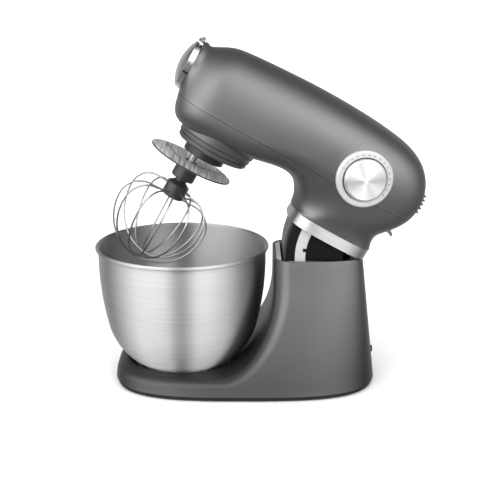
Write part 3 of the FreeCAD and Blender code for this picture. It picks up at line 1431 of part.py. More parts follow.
# Speed dial, in its own frame with Z out of the side.
RECESS = S.knob_radius + S.free_gap
CUP_FLOOR = S.knob_recess + S.head_wall


def dial_ring():
    body = new_body("dial_ring")
    bore, bevel = S.spindle_radius + S.running_gap, S.dial_radius / 20
    revolve(body, [
        (bore, -S.knob_recess), (RECESS, -S.knob_recess), (RECESS, 0), (S.dial_radius - bevel, 0),
        (S.dial_radius, -bevel), (S.dial_radius, -S.dial_depth),
        (S.dial_radius - S.head_wall, -S.dial_depth), (S.dial_radius - S.head_wall, -CUP_FLOOR),
        (bore, -CUP_FLOOR)])
    return body


def speed_knob():
    body = new_body("speed_knob")
    low = S.free_gap - S.knob_recess
    bevel = S.knob_rise / 4
    revolve(body, [
        (0, -S.dial_depth), (S.spindle_radius, -S.dial_depth), (S.spindle_radius, low),
        (S.knob_radius, low), (S.knob_radius, S.knob_rise - bevel * 2),
        (S.knob_radius - bevel, S.knob_rise - bevel), (0, S.knob_rise)])
    return body


def speed_switch():
    body = new_body("speed_switch")
    sketch = new_sketch(body, "XY_Plane", -CUP_FLOOR - S.switch_depth)
    half = S.switch_size / 2
    outline(sketch, box_corners(-half, -half, half, half))
    pad(body, sketch, S.switch_depth)
    bore = new_sketch(body, "XY_Plane", -CUP_FLOOR)
    ring(bore, S.spindle_radius + S.free_gap)
    pocket(body, bore, S.switch_depth - 2)
    return body


subpart(dial_ring(), in_head(ON_DIAL))
subpart(speed_knob(), in_head(ON_DIAL))
subpart(speed_switch(), in_head(ON_DIAL))


def control_board():
    body = new_body("control_board")
    sketch = new_sketch(body, "YZ_Plane", S.board_x - S.board_thickness)
    half = S.switch_size
    outline(sketch, box_corners(-half, S.bridge_level, half, S.plate_level - S.bridge_thickness))
    pad(body, sketch, S.board_thickness)
    return body


subpart(control_board(), in_head())


# Release lever at the back of the head.
def release_lever():
    thick, half = S.lever_thickness / 2, S.lever_half_width
    boss, narrow = S.lever_pin_radius * 2, S.lever_half_width / 2
    x, z = S.lever_x, S.lever_z
    neck = x + boss * 1.5
    tip = x + S.lever_reach
    crown = (neck + tip) / 2
    arch = S.lever_arch
    root = neck + 1
    stem = side_plate([(x, z - thick), (root, z - thick), (root, z + thick), (x, z + thick)],
                      -narrow, narrow)
    blade = side_plate([
        (neck, z - thick), (crown, z - thick + arch), (tip - thick * 2, z - thick + arch / 2),
        (tip - thick, z - thick), (tip, z), (tip - thick, z + thick + arch / 2),
        (crown, z + thick + arch), (neck, z + thick)], -half, half)
    lever = rod(boss, point(x, -narrow, z), point(x, narrow, z)).fuse(stem).fuse(blade)
    pin = rod(S.lever_pin_radius + S.running_gap, point(x, -half, z), point(x, half, z))
    return one_solid(lever.cut(pin))


def lever_spring():
    """A coil round the lever's pin beside its boss."""
    wire, coil = float(S.spring_wire), float(S.lever_pin_radius) + float(S.spring_wire) * 2
    turns, pitch = S.spring_turns.value, float(S.spring_wire) * 2.4
    helix = Part.makeHelix(pitch, pitch * turns, coil)
    path = Part.Wire(helix.Edges)
    section = Part.Wire(Part.makeCircle(wire, Vector(coil, 0, 0), Y_AXIS))
    spring = path.makePipeShell([section], True, True)
    side = -S.lever_half_width / 2 - S.free_gap - wire * 1.5
    spring.Placement = shift(S.lever_x, side, S.lever_z).multiply(spun(X_AXIS, 90))
    return spring


subpart(solid_feature("release_lever", release_lever()), in_head())
subpart(cylinder("lever_pin", S.lever_pin_radius, ARM_OUTER * 2, Placement()),
        in_head(shift(S.lever_x, ARM_OUTER, S.lever_z)).multiply(spun(X_AXIS, 90)))
subpart(solid_feature("lever_spring", lever_spring()), in_head())


doc.recompute()
os.makedirs("parts", exist_ok=True)
for item in doc.Objects:
    if "Invalid" in item.State or "Error" in item.State:
        raise RuntimeError(f"{item.Label}: {item.State}")
for item in SUBPARTS:
    if item.Shape.isNull() or not item.Shape.isValid():
        raise RuntimeError(f"{item.Label}: the shape is not sound")
for item in SUBPARTS:
    item.Shape.exportStep(f"parts/{item.Label}.step")
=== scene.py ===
import itertools
import json
import math

import bmesh
import bpy
from mathutils import Matrix, Vector


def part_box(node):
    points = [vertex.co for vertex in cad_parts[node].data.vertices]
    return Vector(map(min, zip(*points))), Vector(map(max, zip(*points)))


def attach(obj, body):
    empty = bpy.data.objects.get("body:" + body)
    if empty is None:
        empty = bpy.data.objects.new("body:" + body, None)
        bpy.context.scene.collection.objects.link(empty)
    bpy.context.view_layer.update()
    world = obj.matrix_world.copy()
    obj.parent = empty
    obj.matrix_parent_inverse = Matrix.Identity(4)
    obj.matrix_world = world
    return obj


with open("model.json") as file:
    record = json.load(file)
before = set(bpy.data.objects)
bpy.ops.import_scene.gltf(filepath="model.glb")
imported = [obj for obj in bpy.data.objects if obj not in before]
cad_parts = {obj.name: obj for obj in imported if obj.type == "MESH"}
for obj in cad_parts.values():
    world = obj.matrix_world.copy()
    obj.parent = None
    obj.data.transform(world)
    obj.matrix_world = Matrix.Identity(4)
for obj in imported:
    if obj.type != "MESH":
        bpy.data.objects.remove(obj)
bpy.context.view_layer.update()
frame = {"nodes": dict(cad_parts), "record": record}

bl_info = {
    "name": "Stand mixer looks",
    "version": (1, 0, 0),
    "blender": (4, 5, 0),
    "location": "View3D > Sidebar > Mixer",
    "description": "Finishes and small details of a tilt-head stand mixer",
    "category": "Object",
}

JOINTS = {joint["name"]: joint for joint in frame["record"]["behaviour"]["joints"]}
NODES = frame["nodes"]
MM = 0.001
SMOOTH_ANGLE = math.radians(32)


def joint_frame(name):
    """The place of a joint and the direction of its axis, at rest."""
    joint = JOINTS[name]
    return Vector(joint["pos_m"]), Vector(joint["axis"]).normalized()


TOOL_PLACE, HEAD_UP = joint_frame("tool_spin")
PLANET_PLACE, _ = joint_frame("planetary_spin")
BOWL_PLACE, WORLD_UP = joint_frame("bowl_twist")
DIAL_PLACE, DIAL_OUT = joint_frame("speed_dial")
_, ACROSS = joint_frame("cap_flip")
HINGE_PLACE, _ = joint_frame("head_tilt")
HEAD_BACK = ACROSS.cross(HEAD_UP).normalized()


def from_head(forward, up):
    """A point of the middle plane given from the hinge, in millimetres along the raised head."""
    return HINGE_PLACE - HEAD_BACK * (forward * MM) + HEAD_UP * (up * MM)


NECK_PLACE = from_head(47.0, 5.0)
KNOB_RIM = 23.5 * MM
DIAL_RECESS = 26.2 * MM
# Thin dark ring of painted shade round the knob's recess: its inner and outer radius.
RECESS_SHADE_INSIDE, RECESS_SHADE_OUTSIDE = 26.4 * MM, 27.7 * MM
MARK_DEPTH, DOT_RISE, RECESS_SHADE_RISE = 0.1 * MM, 0.12 * MM, 0.1 * MM
DOT_EYE = 0.02 * MM
WIRE_SWELL = 0.22 * MM
DISC_RADIUS, DISC_HALF = 55.0 * MM, 0.7 * MM
EDGE_WIDTH, EDGE_BEVEL, EDGE_RISE = 0.9 * MM, 0.1 * MM, 0.12 * MM
# Slits of the splash disc: start and end as steps back and across from its middle, and width, in millimetres.
SLITS = (((-14.0, -19.0), (-36.0, 26.0), 1.6), ((11.0, -9.0), (46.0, 20.0), 2.6))
# Sleeve of the whisk hub: radius and height over the foot of the splash disc, in millimetres.
SLEEVE_TOP = 0.9 * MM
SLEEVE_PROFILE = ((7.0, -23.0), (14.3, -23.0), (15.2, -22.0), (15.2, -1.0), (14.6, -0.2), (7.0, -0.2))
# Ribs of the vents: distance from the middle plane, and heights over the table.
VENT_SIDE = 26.0 * MM
VENT_LEVELS = (221.0 * MM, 226.0 * MM, 231.0 * MM, 236.0 * MM, 241.0 * MM)
RIB_SIZE = (7.0 * MM, 2.2 * MM, 5.0 * MM)
RIB_BEVEL = 0.7 * MM
BEHIND = 0.4
# Between these the fractal noise has nearly all its values.
NOISE_LOW, NOISE_HIGH = 0.3, 0.7
# Soft panels of the room, from dark to light, in degrees: turn from the front and lift over the level.
LEFT_EDGE, RIGHT_EDGE = (-135.0, -40.0), (112.0, 28.0)
CROWN_EDGE, LOW_EDGE = (84.0, 36.0), (-25.0, 18.0)
GAP_SIDE, GAP_TOP, GAP_SHARE = (2.0, 24.0), (28.0, 52.0), 0.1
BACK_TURN, BACK_LIFT, BACK_SHARE = (110.0, 150.0), (40.0, 12.0), 0.4
ROOM_LOW, ROOM_HIGH, PANEL_STRENGTH = 0.2, 0.07, 3.25
# Lights of the floor and the backdrop: place, aim, width and depth in metres, and power in watts.
LIGHTS = {
    "top": ((0.0, 0.2, 2.0), (0.0, 0.0, 0.2), (3.0, 3.0), 25.0),
    "sweep": ((0.0, 1.6, 2.6), (0.0, 3.2, 0.6), (3.0, 1.0), 22.0),
}
# Floor and backdrop, and the dark card in front of the object, in metres.
FLOOR_FRONT, FLOOR_DEPTH, FLOOR_HALF = -4.0, 2.6, 7.0
SWEEP_BEND, SWEEP_TOP, SWEEP_STEP = 1.2, 4.0, 6
FLAG_NEAR, FLAG_LEAN, FLAG_HALF = -0.55, 0.02, 0.7
FLAG_LOW, FLAG_HIGH = 0.001, 0.11
SENSOR_WIDTH = 36.0


class Graph:
    """Builds the nodes of one material, or of the world."""

    def __init__(self, block, shader="Principled BSDF"):
        self.material = bpy.data.materials.new(block) if isinstance(block, str) else block
        self.material.use_nodes = True
        self.tree = self.material.node_tree
        self.shader = self.tree.nodes[shader]

    def add(self, kind, values=(), settings=None, **named):
        """Adds a node. A value is a constant or the output of another node, by position or by name."""
        node = self.tree.nodes.new(kind)
        for key, value in (settings or {}).items():
            setattr(node, key, value)
        for key, value in list(enumerate(values)) + list(named.items()):
            socket = node.inputs[key]
            if isinstance(value, bpy.types.NodeSocket):
                self.tree.links.new(value, socket)
            elif value is not None:
                socket.default_value = value
        return node

    def math(self, operation, *values):
        return self.add("ShaderNodeMath", values, {"operation": operation}).outputs[0]

    def vector(self, operation, *values):
        node = self.add("ShaderNodeVectorMath", values, {"operation": operation})
        return node.outputs["Value"] if operation in ("DOT_PRODUCT", "LENGTH") else node.outputs["Vector"]

    def place(self):
        return self.add("ShaderNodeTexCoord").outputs["Object"]

    def noise(self, vector, scale, detail=2.0, roughness=0.5):
        node = self.add("ShaderNodeTexNoise", Vector=vector, Scale=scale, Detail=detail, Roughness=roughness)
        return node.outputs["Fac"]

    def spread(self, value, low, high, start=0.0, end=1.0):
        node = self.add("ShaderNodeMapRange", Value=value, **{
            "From Min": start, "From Max": end, "To Min": low, "To Max": high})
        return node.outputs["Result"]

    def grade(self, noise, low, high):
        """Spreads the values of a noise between two numbers."""
        return self.spread(noise, low, high, NOISE_LOW, NOISE_HIGH)

    def step(self, value, start, end):
        """Rises smoothly from 0 at the start to 1 at the end."""
        node = self.add("ShaderNodeMapRange", settings={"interpolation_type": "SMOOTHSTEP"}, Value=value, **{
            "From Min": start, "From Max": end, "To Min": 0.0, "To Max": 1.0})
        return node.outputs["Result"]

    def blend(self, factor, first, second):
        node = self.add("ShaderNodeMix", settings={"data_type": "RGBA"})
        for key, value in ((0, factor), (6, first), (7, second)):
            socket = node.inputs[key]
            if isinstance(value, bpy.types.NodeSocket):
                self.tree.links.new(value, socket)
            else:
                socket.default_value = value
        return node.outputs[2]

    def bump(self, height, strength, distance=0.0002):
        node = self.add("ShaderNodeBump", Height=height, Strength=strength, Distance=distance)
        return node.outputs["Normal"]

    def set(self, **named):
        """Sets or links inputs of the surface shader; underscores stand for spaces."""
        for key, value in named.items():
            socket = self.shader.inputs[key.replace("_", " ")]
            if isinstance(value, bpy.types.NodeSocket):
                self.tree.links.new(value, socket)
            else:
                socket.default_value = value
        return self.material


def rgb(grey, tint=(1.0, 1.0, 1.0)):
    return tuple(grey * part for part in tint) + (1.0,)


def shade(colour, factor):
    return tuple(min(1.0, part * factor) for part in colour[:3]) + (1.0,)


def round_coordinates(graph, centre, axis):
    """Distance from an axis, turn round it, height along it, and the unit vector round it."""
    offset = graph.vector("SUBTRACT", graph.place(), tuple(centre))
    height = graph.vector("DOT_PRODUCT", offset, tuple(axis))
    along = graph.add("ShaderNodeVectorMath", (tuple(axis),), {"operation": "SCALE"})
    graph.tree.links.new(height, along.inputs["Scale"])
    flat = graph.vector("SUBTRACT", offset, along.outputs["Vector"])
    radius = graph.vector("LENGTH", flat)
    side = axis.orthogonal().normalized()
    other = axis.cross(side)
    turn = graph.math("ARCTAN2", graph.vector("DOT_PRODUCT", flat, tuple(other)),
                      graph.vector("DOT_PRODUCT", flat, tuple(side)))
    round_way = graph.vector("NORMALIZE", graph.vector("CROSS_PRODUCT", tuple(axis), flat))
    return radius, turn, height, round_way


def across_grain(graph, grain):
    """The way along the surface and across the brushing, in which brushed metal spreads its gloss."""
    node = graph.add("ShaderNodeVectorTransform", (grain,), {
        "vector_type": "VECTOR", "convert_from": "OBJECT", "convert_to": "WORLD"})
    face = graph.add("ShaderNodeNewGeometry").outputs["Normal"]
    return graph.vector("NORMALIZE", graph.vector("CROSS_PRODUCT", face, node.outputs[0]))


def satin_paint(name, colour, roughness, flake, foot=None):
    """Dark metallic paint: fine flakes, a soft cloud in the gloss and a painted highlight on sharp convex
    edges.

    The foot shade, if it is given, is the share of the tone left down at the table: painted shade that
    darkens the paint towards the table."""
    graph = Graph(name)
    place = graph.place()
    flakes = graph.noise(place, 2600.0, 1.0)
    cloud = graph.noise(place, 14.0, 3.0)
    edge = graph.add("ShaderNodeNewGeometry").outputs["Pointiness"]
    # Painted highlight: sharp convex edges are lightened.
    edge_glint = graph.spread(edge, 0.0, 0.25, 0.53, 0.62)
    speckle = graph.grade(flakes, -flake, flake)
    mixed = graph.blend(graph.math("ADD", speckle, 0.5), shade(colour, 0.86), shade(colour, 1.14))
    body = graph.blend(edge_glint, mixed, shade(colour, 1.7))
    # Painted shade: the paint grows darker towards the table.
    if foot is not None:
        rise = graph.vector("DOT_PRODUCT", place, tuple(WORLD_UP))
        shaded_foot = graph.add("ShaderNodeVectorMath", (body,), {"operation": "SCALE"})
        graph.tree.links.new(graph.spread(rise, foot, 0.88, 15.0 * MM, 130.0 * MM), shaded_foot.inputs["Scale"])
        body = shaded_foot.outputs["Vector"]
    return graph.set(
        Base_Color=body, Metallic=0.85, Roughness=graph.spread(cloud, roughness - 0.03, roughness + 0.04),
        Normal=graph.bump(flakes, 0.05), Coat_Weight=0.12, Coat_Roughness=0.3)


def turned_steel(name, colour, roughness, centre, axis, grain=5200.0, streak=0.10, aniso=0.75,
                 metallic=1.0, shade_radius=None, inside_shade=None):
    """Metal brushed round an axis: fine rings, long soft streaks and a reflection drawn out across them.

    Within the shade radius, if there is one, the metal is darkened: painted shade in the recess round the
    knob. The inside shade, if given, is the share of the tone
    left on faces turned towards the axis: painted shade on the inner faces, as inside the bowl."""
    graph = Graph(name)
    radius, turn, height, round_way = round_coordinates(graph, centre, axis)
    lines = graph.add("ShaderNodeCombineXYZ", (
        graph.math("MULTIPLY", graph.math("ADD", radius, height), grain),
        graph.math("MULTIPLY", graph.math("SUBTRACT", height, radius), grain),
        graph.math("MULTIPLY", graph.math("SINE", turn), 2.0))).outputs[0]
    fine = graph.noise(lines, 1.0, 2.0, 0.6)
    broad = graph.noise(graph.vector("MULTIPLY", lines, (0.06, 0.06, 0.5)), 1.0, 2.0)
    tone = graph.grade(fine, 1.0 - streak, 1.0 + streak)
    tone = graph.math("MULTIPLY", tone, graph.grade(broad, 0.95, 1.05))
    # Painted shade: the metal inside the given radius is darkened.
    if shade_radius is not None:
        tone = graph.math("MULTIPLY", tone, graph.spread(radius, 0.08, 1.0, shade_radius, shade_radius + 0.3 * MM))
    # Painted shade: faces turned towards the axis are darkened.
    if inside_shade is not None:
        face = graph.add("ShaderNodeNewGeometry").outputs["Normal"]
        outward = graph.vector("DOT_PRODUCT", face, graph.vector("CROSS_PRODUCT", round_way, tuple(axis)))
        tone = graph.math("MULTIPLY", tone, graph.spread(outward, inside_shade, 1.0, -0.25, 0.05))
    tinted = graph.add("ShaderNodeVectorMath", (colour[:3],), {"operation": "SCALE"})
    graph.tree.links.new(tone, tinted.inputs["Scale"])
    return graph.set(
        Base_Color=tinted.outputs["Vector"], Metallic=metallic,
        Roughness=graph.grade(fine, roughness - 0.05, roughness + 0.07),
        Anisotropic=aniso, Tangent=across_grain(graph, round_way),
        Normal=graph.bump(fine, 0.06, 0.0001))


def plain_metal(name, colour, roughness, grain=420.0, streak=0.08):
    """Cast or drawn metal with a fine uneven surface."""
    graph = Graph(name)
    place = graph.place()
    fine = graph.noise(place, grain, 4.0, 0.65)
    cloud = graph.noise(place, 22.0, 3.0)
    mix = graph.grade(cloud, 0.0, 1.0)
    tone = graph.blend(mix, shade(colour, 1.0 - streak), shade(colour, 1.0 + streak))
    return graph.set(Base_Color=tone, Metallic=1.0, Normal=graph.bump(fine, 0.08, 0.0001),
                     Roughness=graph.grade(fine, roughness - 0.04, roughness + 0.06))


def moulded(name, colour, roughness, grain=1500.0, depth=0.12, specular=0.5):
    """Moulded plastic or rubber with a fine matt grain."""
    graph = Graph(name)
    place = graph.place()
    fine = graph.noise(place, grain, 3.0, 0.6)
    cloud = graph.noise(place, 30.0, 3.0)
    tone = graph.blend(graph.grade(cloud, 0.0, 1.0), shade(colour, 0.88), shade(colour, 1.12))
    return graph.set(Base_Color=tone, Normal=graph.bump(fine, depth, 0.0001), Specular_IOR_Level=specular,
                     Roughness=graph.grade(cloud, roughness - 0.05, roughness + 0.05))


def ribbed_rubber(name, colour, pitch):
    """Belt rubber with fine ribs across its height."""
    graph = Graph(name)
    height = graph.vector("DOT_PRODUCT", graph.place(), tuple(HEAD_UP))
    ribs = graph.math("SINE", graph.math("MULTIPLY", height, 2.0 * math.pi / pitch))
    tone = graph.blend(graph.spread(ribs, 0.0, 1.0, -1.0, 1.0), shade(colour, 0.7), shade(colour, 1.3))
    return graph.set(Base_Color=tone, Roughness=0.7, Normal=graph.bump(ribs, 0.4, 0.0002))


def knob_steel(name, colour, centre, axis, rim):
    """The knob: a cone brushed round its axis, and a polished edge outside the rim radius."""
    graph = Graph(name)
    radius, turn, _, round_way = round_coordinates(graph, centre, axis)
    lines = graph.add("ShaderNodeCombineXYZ", (
        graph.math("MULTIPLY", radius, 9000.0), graph.math("MULTIPLY", graph.math("SINE", turn), 1.2), 0.0))
    rings = graph.noise(lines.outputs[0], 1.0, 2.0)
    polished = graph.spread(radius, 0.0, 1.0, rim, rim + 0.0002)
    tone = graph.blend(graph.grade(rings, 0.0, 1.0), shade(colour, 0.9), shade(colour, 1.1))
    tone = graph.blend(polished, tone, shade(colour, 0.8))
    smoother = graph.math("MULTIPLY", polished, -0.16)
    rough = graph.math("ADD", smoother, graph.grade(rings, 0.40, 0.48))
    return graph.set(Base_Color=tone, Metallic=0.75, Roughness=rough, Anisotropic=1.0,
                     Tangent=across_grain(graph, round_way), Normal=graph.bump(rings, 0.05, 0.0001))


def hatched_metal(name, colour, along, pitch, roughness):
    """Sheet metal brushed in one straight direction."""
    graph = Graph(name)
    across = along.cross(HEAD_UP).normalized()
    place = graph.place()
    lines = graph.add("ShaderNodeCombineXYZ", (
        graph.math("MULTIPLY", graph.vector("DOT_PRODUCT", place, tuple(across)), 1.0 / pitch),
        graph.math("MULTIPLY", graph.vector("DOT_PRODUCT", place, tuple(along)), 0.03 / pitch), 0.0))
    fine = graph.noise(lines.outputs[0], 1.0, 3.0, 0.6)
    tone = graph.blend(graph.spread(fine, 0.0, 1.0, 0.35, 0.65), shade(colour, 0.3), shade(colour, 1.35))
    return graph.set(Base_Color=tone, Metallic=0.35, Normal=graph.bump(fine, 0.15, 0.0001),
                     Roughness=graph.grade(fine, roughness - 0.06, roughness + 0.08))


def circuit_board(name, colour):
    """Green board with a faint pattern of tracks."""
    graph = Graph(name)
    place = graph.place()
    cells = graph.add("ShaderNodeTexVoronoi", Vector=place, Scale=160.0).outputs["Distance"]
    tracks = graph.spread(cells, 0.0, 1.0, 0.25, 0.3)
    return graph.set(Base_Color=graph.blend(tracks, shade(colour, 1.6), shade(colour, 0.9)), Roughness=0.45,
                     Normal=graph.bump(cells, 0.1, 0.0001))


def floor_finish(name, colour):
    """Plain pale sweep with the faintest tone in it."""
    graph = Graph(name)
    cloud = graph.noise(graph.place(), 1.5, 2.0)
    tone = graph.blend(cloud, shade(colour, 0.985), shade(colour, 1.0))
    return graph.set(Base_Color=tone, Roughness=0.6, Specular_IOR_Level=0.2)


def dress(names, material):
    """Gives CAD nodes a finish and smooths their curved faces."""
    for name in names.split():
        item = NODES[name]
        item.data.materials.clear()
        item.data.materials.append(material)
        smooth(item)


def smooth(item):
    for face in item.data.polygons:
        face.use_smooth = True
    item.data.set_sharp_from_angle(angle=SMOOTH_ANGLE)


def add_piece(name, build, material, body):
    """Makes a new piece from bmesh code, in its place, riding on a body."""
    mesh = bpy.data.meshes.new(name)
    shape = bmesh.new()
    build(shape)
    bmesh.ops.recalc_face_normals(shape, faces=shape.faces)
    shape.to_mesh(mesh)
    shape.free()
    item = bpy.data.objects.new(name, mesh)
    bpy.context.scene.collection.objects.link(item)
    mesh.materials.append(material)
    smooth(item)
    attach(item, body)
    return item


def upright_frame(place, axis, up):
    """A matrix at a place, whose Z is the axis and whose Y is as near to up as it can be."""
    across = up.cross(axis).normalized()
    turn = Matrix((across, axis.cross(across), axis)).transposed().to_4x4()
    return Matrix.Translation(place) @ turn


def add_lathe(shape, profile, place, segments=96, start=0.0, sweep=2.0 * math.pi):
    """A closed profile of radius and height, in metres, turned round a frame's Z."""
    whole = abs(sweep - 2.0 * math.pi) < 1e-6
    count = segments if whole else segments + 1
    rings = []
    for step in range(count):
        angle = start + sweep * step / segments
        cosine, sine = math.cos(angle), math.sin(angle)
        rings.append([shape.verts.new(place @ Vector((radius * cosine, radius * sine, height)))
                      for radius, height in profile])
    for step in range(segments):
        first, second = rings[step], rings[(step + 1) % count]
        for index in range(len(profile)):
            following = (index + 1) % len(profile)
            shape.faces.new((first[index], first[following], second[following], second[index]))
    if not whole:
        shape.faces.new(rings[0])
        shape.faces.new(list(reversed(rings[-1])))


class PaintSettings(bpy.types.PropertyGroup):
    """Painted shells."""
    colour: bpy.props.FloatVectorProperty(
        name="Colour", description="Paint of base and head", subtype="COLOR", size=4, min=0.0, max=1.0,
        default=(0.165, 0.165, 0.167, 1.0))
    roughness: bpy.props.FloatProperty(
        name="Roughness", description="Gloss of the paint", subtype="FACTOR", default=0.42, min=0.1, max=0.9)
    flake: bpy.props.FloatProperty(
        name="Flake", description="Contrast of the metal flakes", subtype="FACTOR",
        default=0.35, min=0.0, max=0.5)
    # Painted shade: share of the paint's tone left at the foot of the base, darker towards the table.
    foot: bpy.props.FloatProperty(
        name="Foot", description="Share of the tone left at the foot of the base", subtype="FACTOR",
        default=0.36, min=0.0, max=1.0)


class MetalSettings(bpy.types.PropertyGroup):
    """Bare metal."""
    steel: bpy.props.FloatVectorProperty(
        name="Steel", description="Brushed steel", subtype="COLOR", size=4, min=0.0, max=1.0,
        default=(0.82, 0.815, 0.805, 1.0))
    chrome: bpy.props.FloatVectorProperty(
        name="Chrome", description="Polished pieces", subtype="COLOR", size=4, min=0.0, max=1.0,
        default=(0.74, 0.745, 0.75, 1.0))
    bowl_roughness: bpy.props.FloatProperty(
        name="Bowl roughness", description="Gloss of the bowl", subtype="FACTOR",
        default=0.48, min=0.05, max=0.9)


class DialSettings(bpy.types.PropertyGroup):
    """Marks of the speed dial."""
    count: bpy.props.IntProperty(
        name="Marks", description="Dots on the dial ring", default=15, min=2, max=40)
    circle: bpy.props.FloatProperty(
        name="Circle", description="Distance of the dots from the dial's axis", unit="LENGTH",
        default=30.3 * MM)
    dot: bpy.props.FloatProperty(
        name="Dot", description="Radius of a dot", unit="LENGTH", default=0.85 * MM)
    first: bpy.props.FloatProperty(
        name="First", description="Angle of the first dot", unit="ROTATION", default=math.radians(150))
    last: bpy.props.FloatProperty(
        name="Last", description="Angle of the last dot", unit="ROTATION", default=math.radians(-40))


class StageSettings(bpy.types.PropertyGroup):
    """Floor, light and camera."""
    floor: bpy.props.FloatVectorProperty(
        name="Floor", description="Pale sweep", subtype="COLOR", size=4, min=0.0, max=1.0,
        default=(0.86, 0.86, 0.86, 1.0))
    distance: bpy.props.FloatProperty(
        name="Camera distance", description="From the camera to the object's middle", unit="LENGTH",
        default=1.444)
    pitch: bpy.props.FloatProperty(
        name="Camera pitch", description="Camera above the level", unit="ROTATION",
        default=math.radians(15.5))
    aim: bpy.props.FloatProperty(
        name="Aim", description="Height the camera aims at", unit="LENGTH", default=0.171)
    lens: bpy.props.FloatProperty(name="Lens", description="Focal length in millimetres", default=82.65)


class MIXER_OT_paint(bpy.types.Operator):
    """Paints the base and the head shells"""
    bl_idname = "mixer.paint"
    bl_label = "Painted shells"

    def execute(self, context):
        settings = context.scene.mixer_paint
        look = (tuple(settings.colour), settings.roughness, settings.flake)
        dress("head_upper_shell head_lower_shell", satin_paint("head_paint", *look))
        # The base's paint carries painted shade, darker towards the table.
        dress("base_shell", satin_paint("base_paint", *look, settings.foot))
        return {"FINISHED"}


class MIXER_OT_steel(bpy.types.Operator):
    """Brushes the bowl, the neck band and the dial ring"""
    bl_idname = "mixer.steel"
    bl_label = "Brushed steel"

    def execute(self, context):
        settings = context.scene.mixer_metal
        steel = tuple(settings.steel)
        # The bowl's inner faces are darkened: painted shade.
        dress("bowl bowl_foot", turned_steel(
            "bowl_steel", steel, settings.bowl_roughness, BOWL_PLACE, WORLD_UP, streak=0.05, aniso=1.0,
            inside_shade=0.8))
        dress("neck_band", turned_steel(
            "band_steel", steel, 0.45, NECK_PLACE, HEAD_UP, streak=0.06, aniso=1.0))
        # The dial ring is darkened inside the knob's recess radius: painted shade.
        dress("dial_ring", turned_steel(
            "dial_steel", shade(steel, 0.84), 0.42, DIAL_PLACE, DIAL_OUT, streak=0.04, aniso=0.5,
            metallic=0.5, shade_radius=DIAL_RECESS))
        dress("speed_knob", knob_steel("knob_steel", shade(steel, 1.2), DIAL_PLACE, DIAL_OUT, KNOB_RIM))
        return {"FINISHED"}


class MIXER_OT_chrome(bpy.types.Operator):
    """Polishes the hub cap and its bezel, and gives the release lever a dark moulded finish"""
    bl_idname = "mixer.chrome"
    bl_label = "Chrome"

    def execute(self, context):
        chrome = tuple(context.scene.mixer_metal.chrome)
        dress("hub_cap hub_bezel", plain_metal("bright_chrome", chrome, 0.09, grain=260.0, streak=0.02))
        dress("release_lever", moulded("lever_finish", rgb(0.16), 0.3))
        return {"FINISHED"}


class MIXER_OT_plastics(bpy.types.Operator):
    """Gives the plastic and rubber pieces their grain"""
    bl_idname = "mixer.plastics"
    bl_label = "Plastic and rubber"

    def execute(self, context):
        black = moulded("black_plastic", rgb(0.012), 0.42)
        dress("base_plate speed_switch cooling_fan cord_gland", black)
        dress("neck_skirt", moulded("skirt_plastic", rgb(0.006), 0.5, specular=0.15))
        dress("planet_carrier motor_pulley drive_pulley", moulded("drum_plastic", rgb(0.02), 0.36))
        dress("trim_ring", moulded("trim_plastic", rgb(0.045), 0.34))
        dress("rubber_feet", moulded(
            "foot_rubber", rgb(0.018), 0.75, grain=900.0, depth=0.2, specular=0.3))
        dress("drive_belt", ribbed_rubber("belt_rubber", rgb(0.022), 1.6 * MM))
        dress("skirt_front_cover", moulded("grey_plastic", rgb(0.075), 0.4))
        dress("column_rim latch_strut", moulded("light_plastic", rgb(0.44), 0.42))
        dress("control_board", circuit_board("board_green", (0.02, 0.12, 0.05, 1.0)))
        return {"FINISHED"}


class MIXER_OT_works(bpy.types.Operator):
    """Finishes the hinge, the motor, the gears and the whisk"""
    bl_idname = "mixer.works"
    bl_label = "Working parts"

    def execute(self, context):
        steel = tuple(context.scene.mixer_metal.steel)
        dress("bowl_seat hinge_bracket plate_screws motor_stator motor_rotor ring_gear planet_gear "
              "shaft_bearings motor_bearings lever_spring lever_pin cap_pin hinge_pin",
              plain_metal("plain_steel", shade(steel, 0.85), 0.34))
        dress("drive_shaft", turned_steel("drive_shaft_steel", steel, 0.25, PLANET_PLACE, HEAD_UP))
        dress("tool_shaft gear_arbor cross_pin", turned_steel(
            "tool_shaft_steel", shade(steel, 0.55), 0.3, TOOL_PLACE, HEAD_UP))
        dress("motor_shaft", plain_metal("motor_shaft_steel", steel, 0.25))
        dress("seam_screws", plain_metal("screw_steel", shade(steel, 0.16), 0.4))
        dress("whisk_wires", plain_metal("wire_steel", shade(steel, 0.55), 0.3, grain=900.0, streak=0.05))
        swell = NODES["whisk_wires"].modifiers.new("swell", "DISPLACE")
        swell.mid_level = 0.0
        swell.strength = WIRE_SWELL
        dress("gear_housing drive_plate motor_frame hub_socket", plain_metal(
            "cast_alloy", rgb(0.5), 0.45, grain=700.0, streak=0.12))
        dress("carrier_bush", plain_metal("bush_bronze", (0.45, 0.28, 0.12, 1.0), 0.38))
        dress("whisk_hub", moulded("hub_plastic", rgb(0.028), 0.3, grain=1200.0, depth=0.08))
        dress("splash_disc", hatched_metal("disc_metal", rgb(0.6), ACROSS, 2.2 * MM, 0.4))
        return {"FINISHED"}


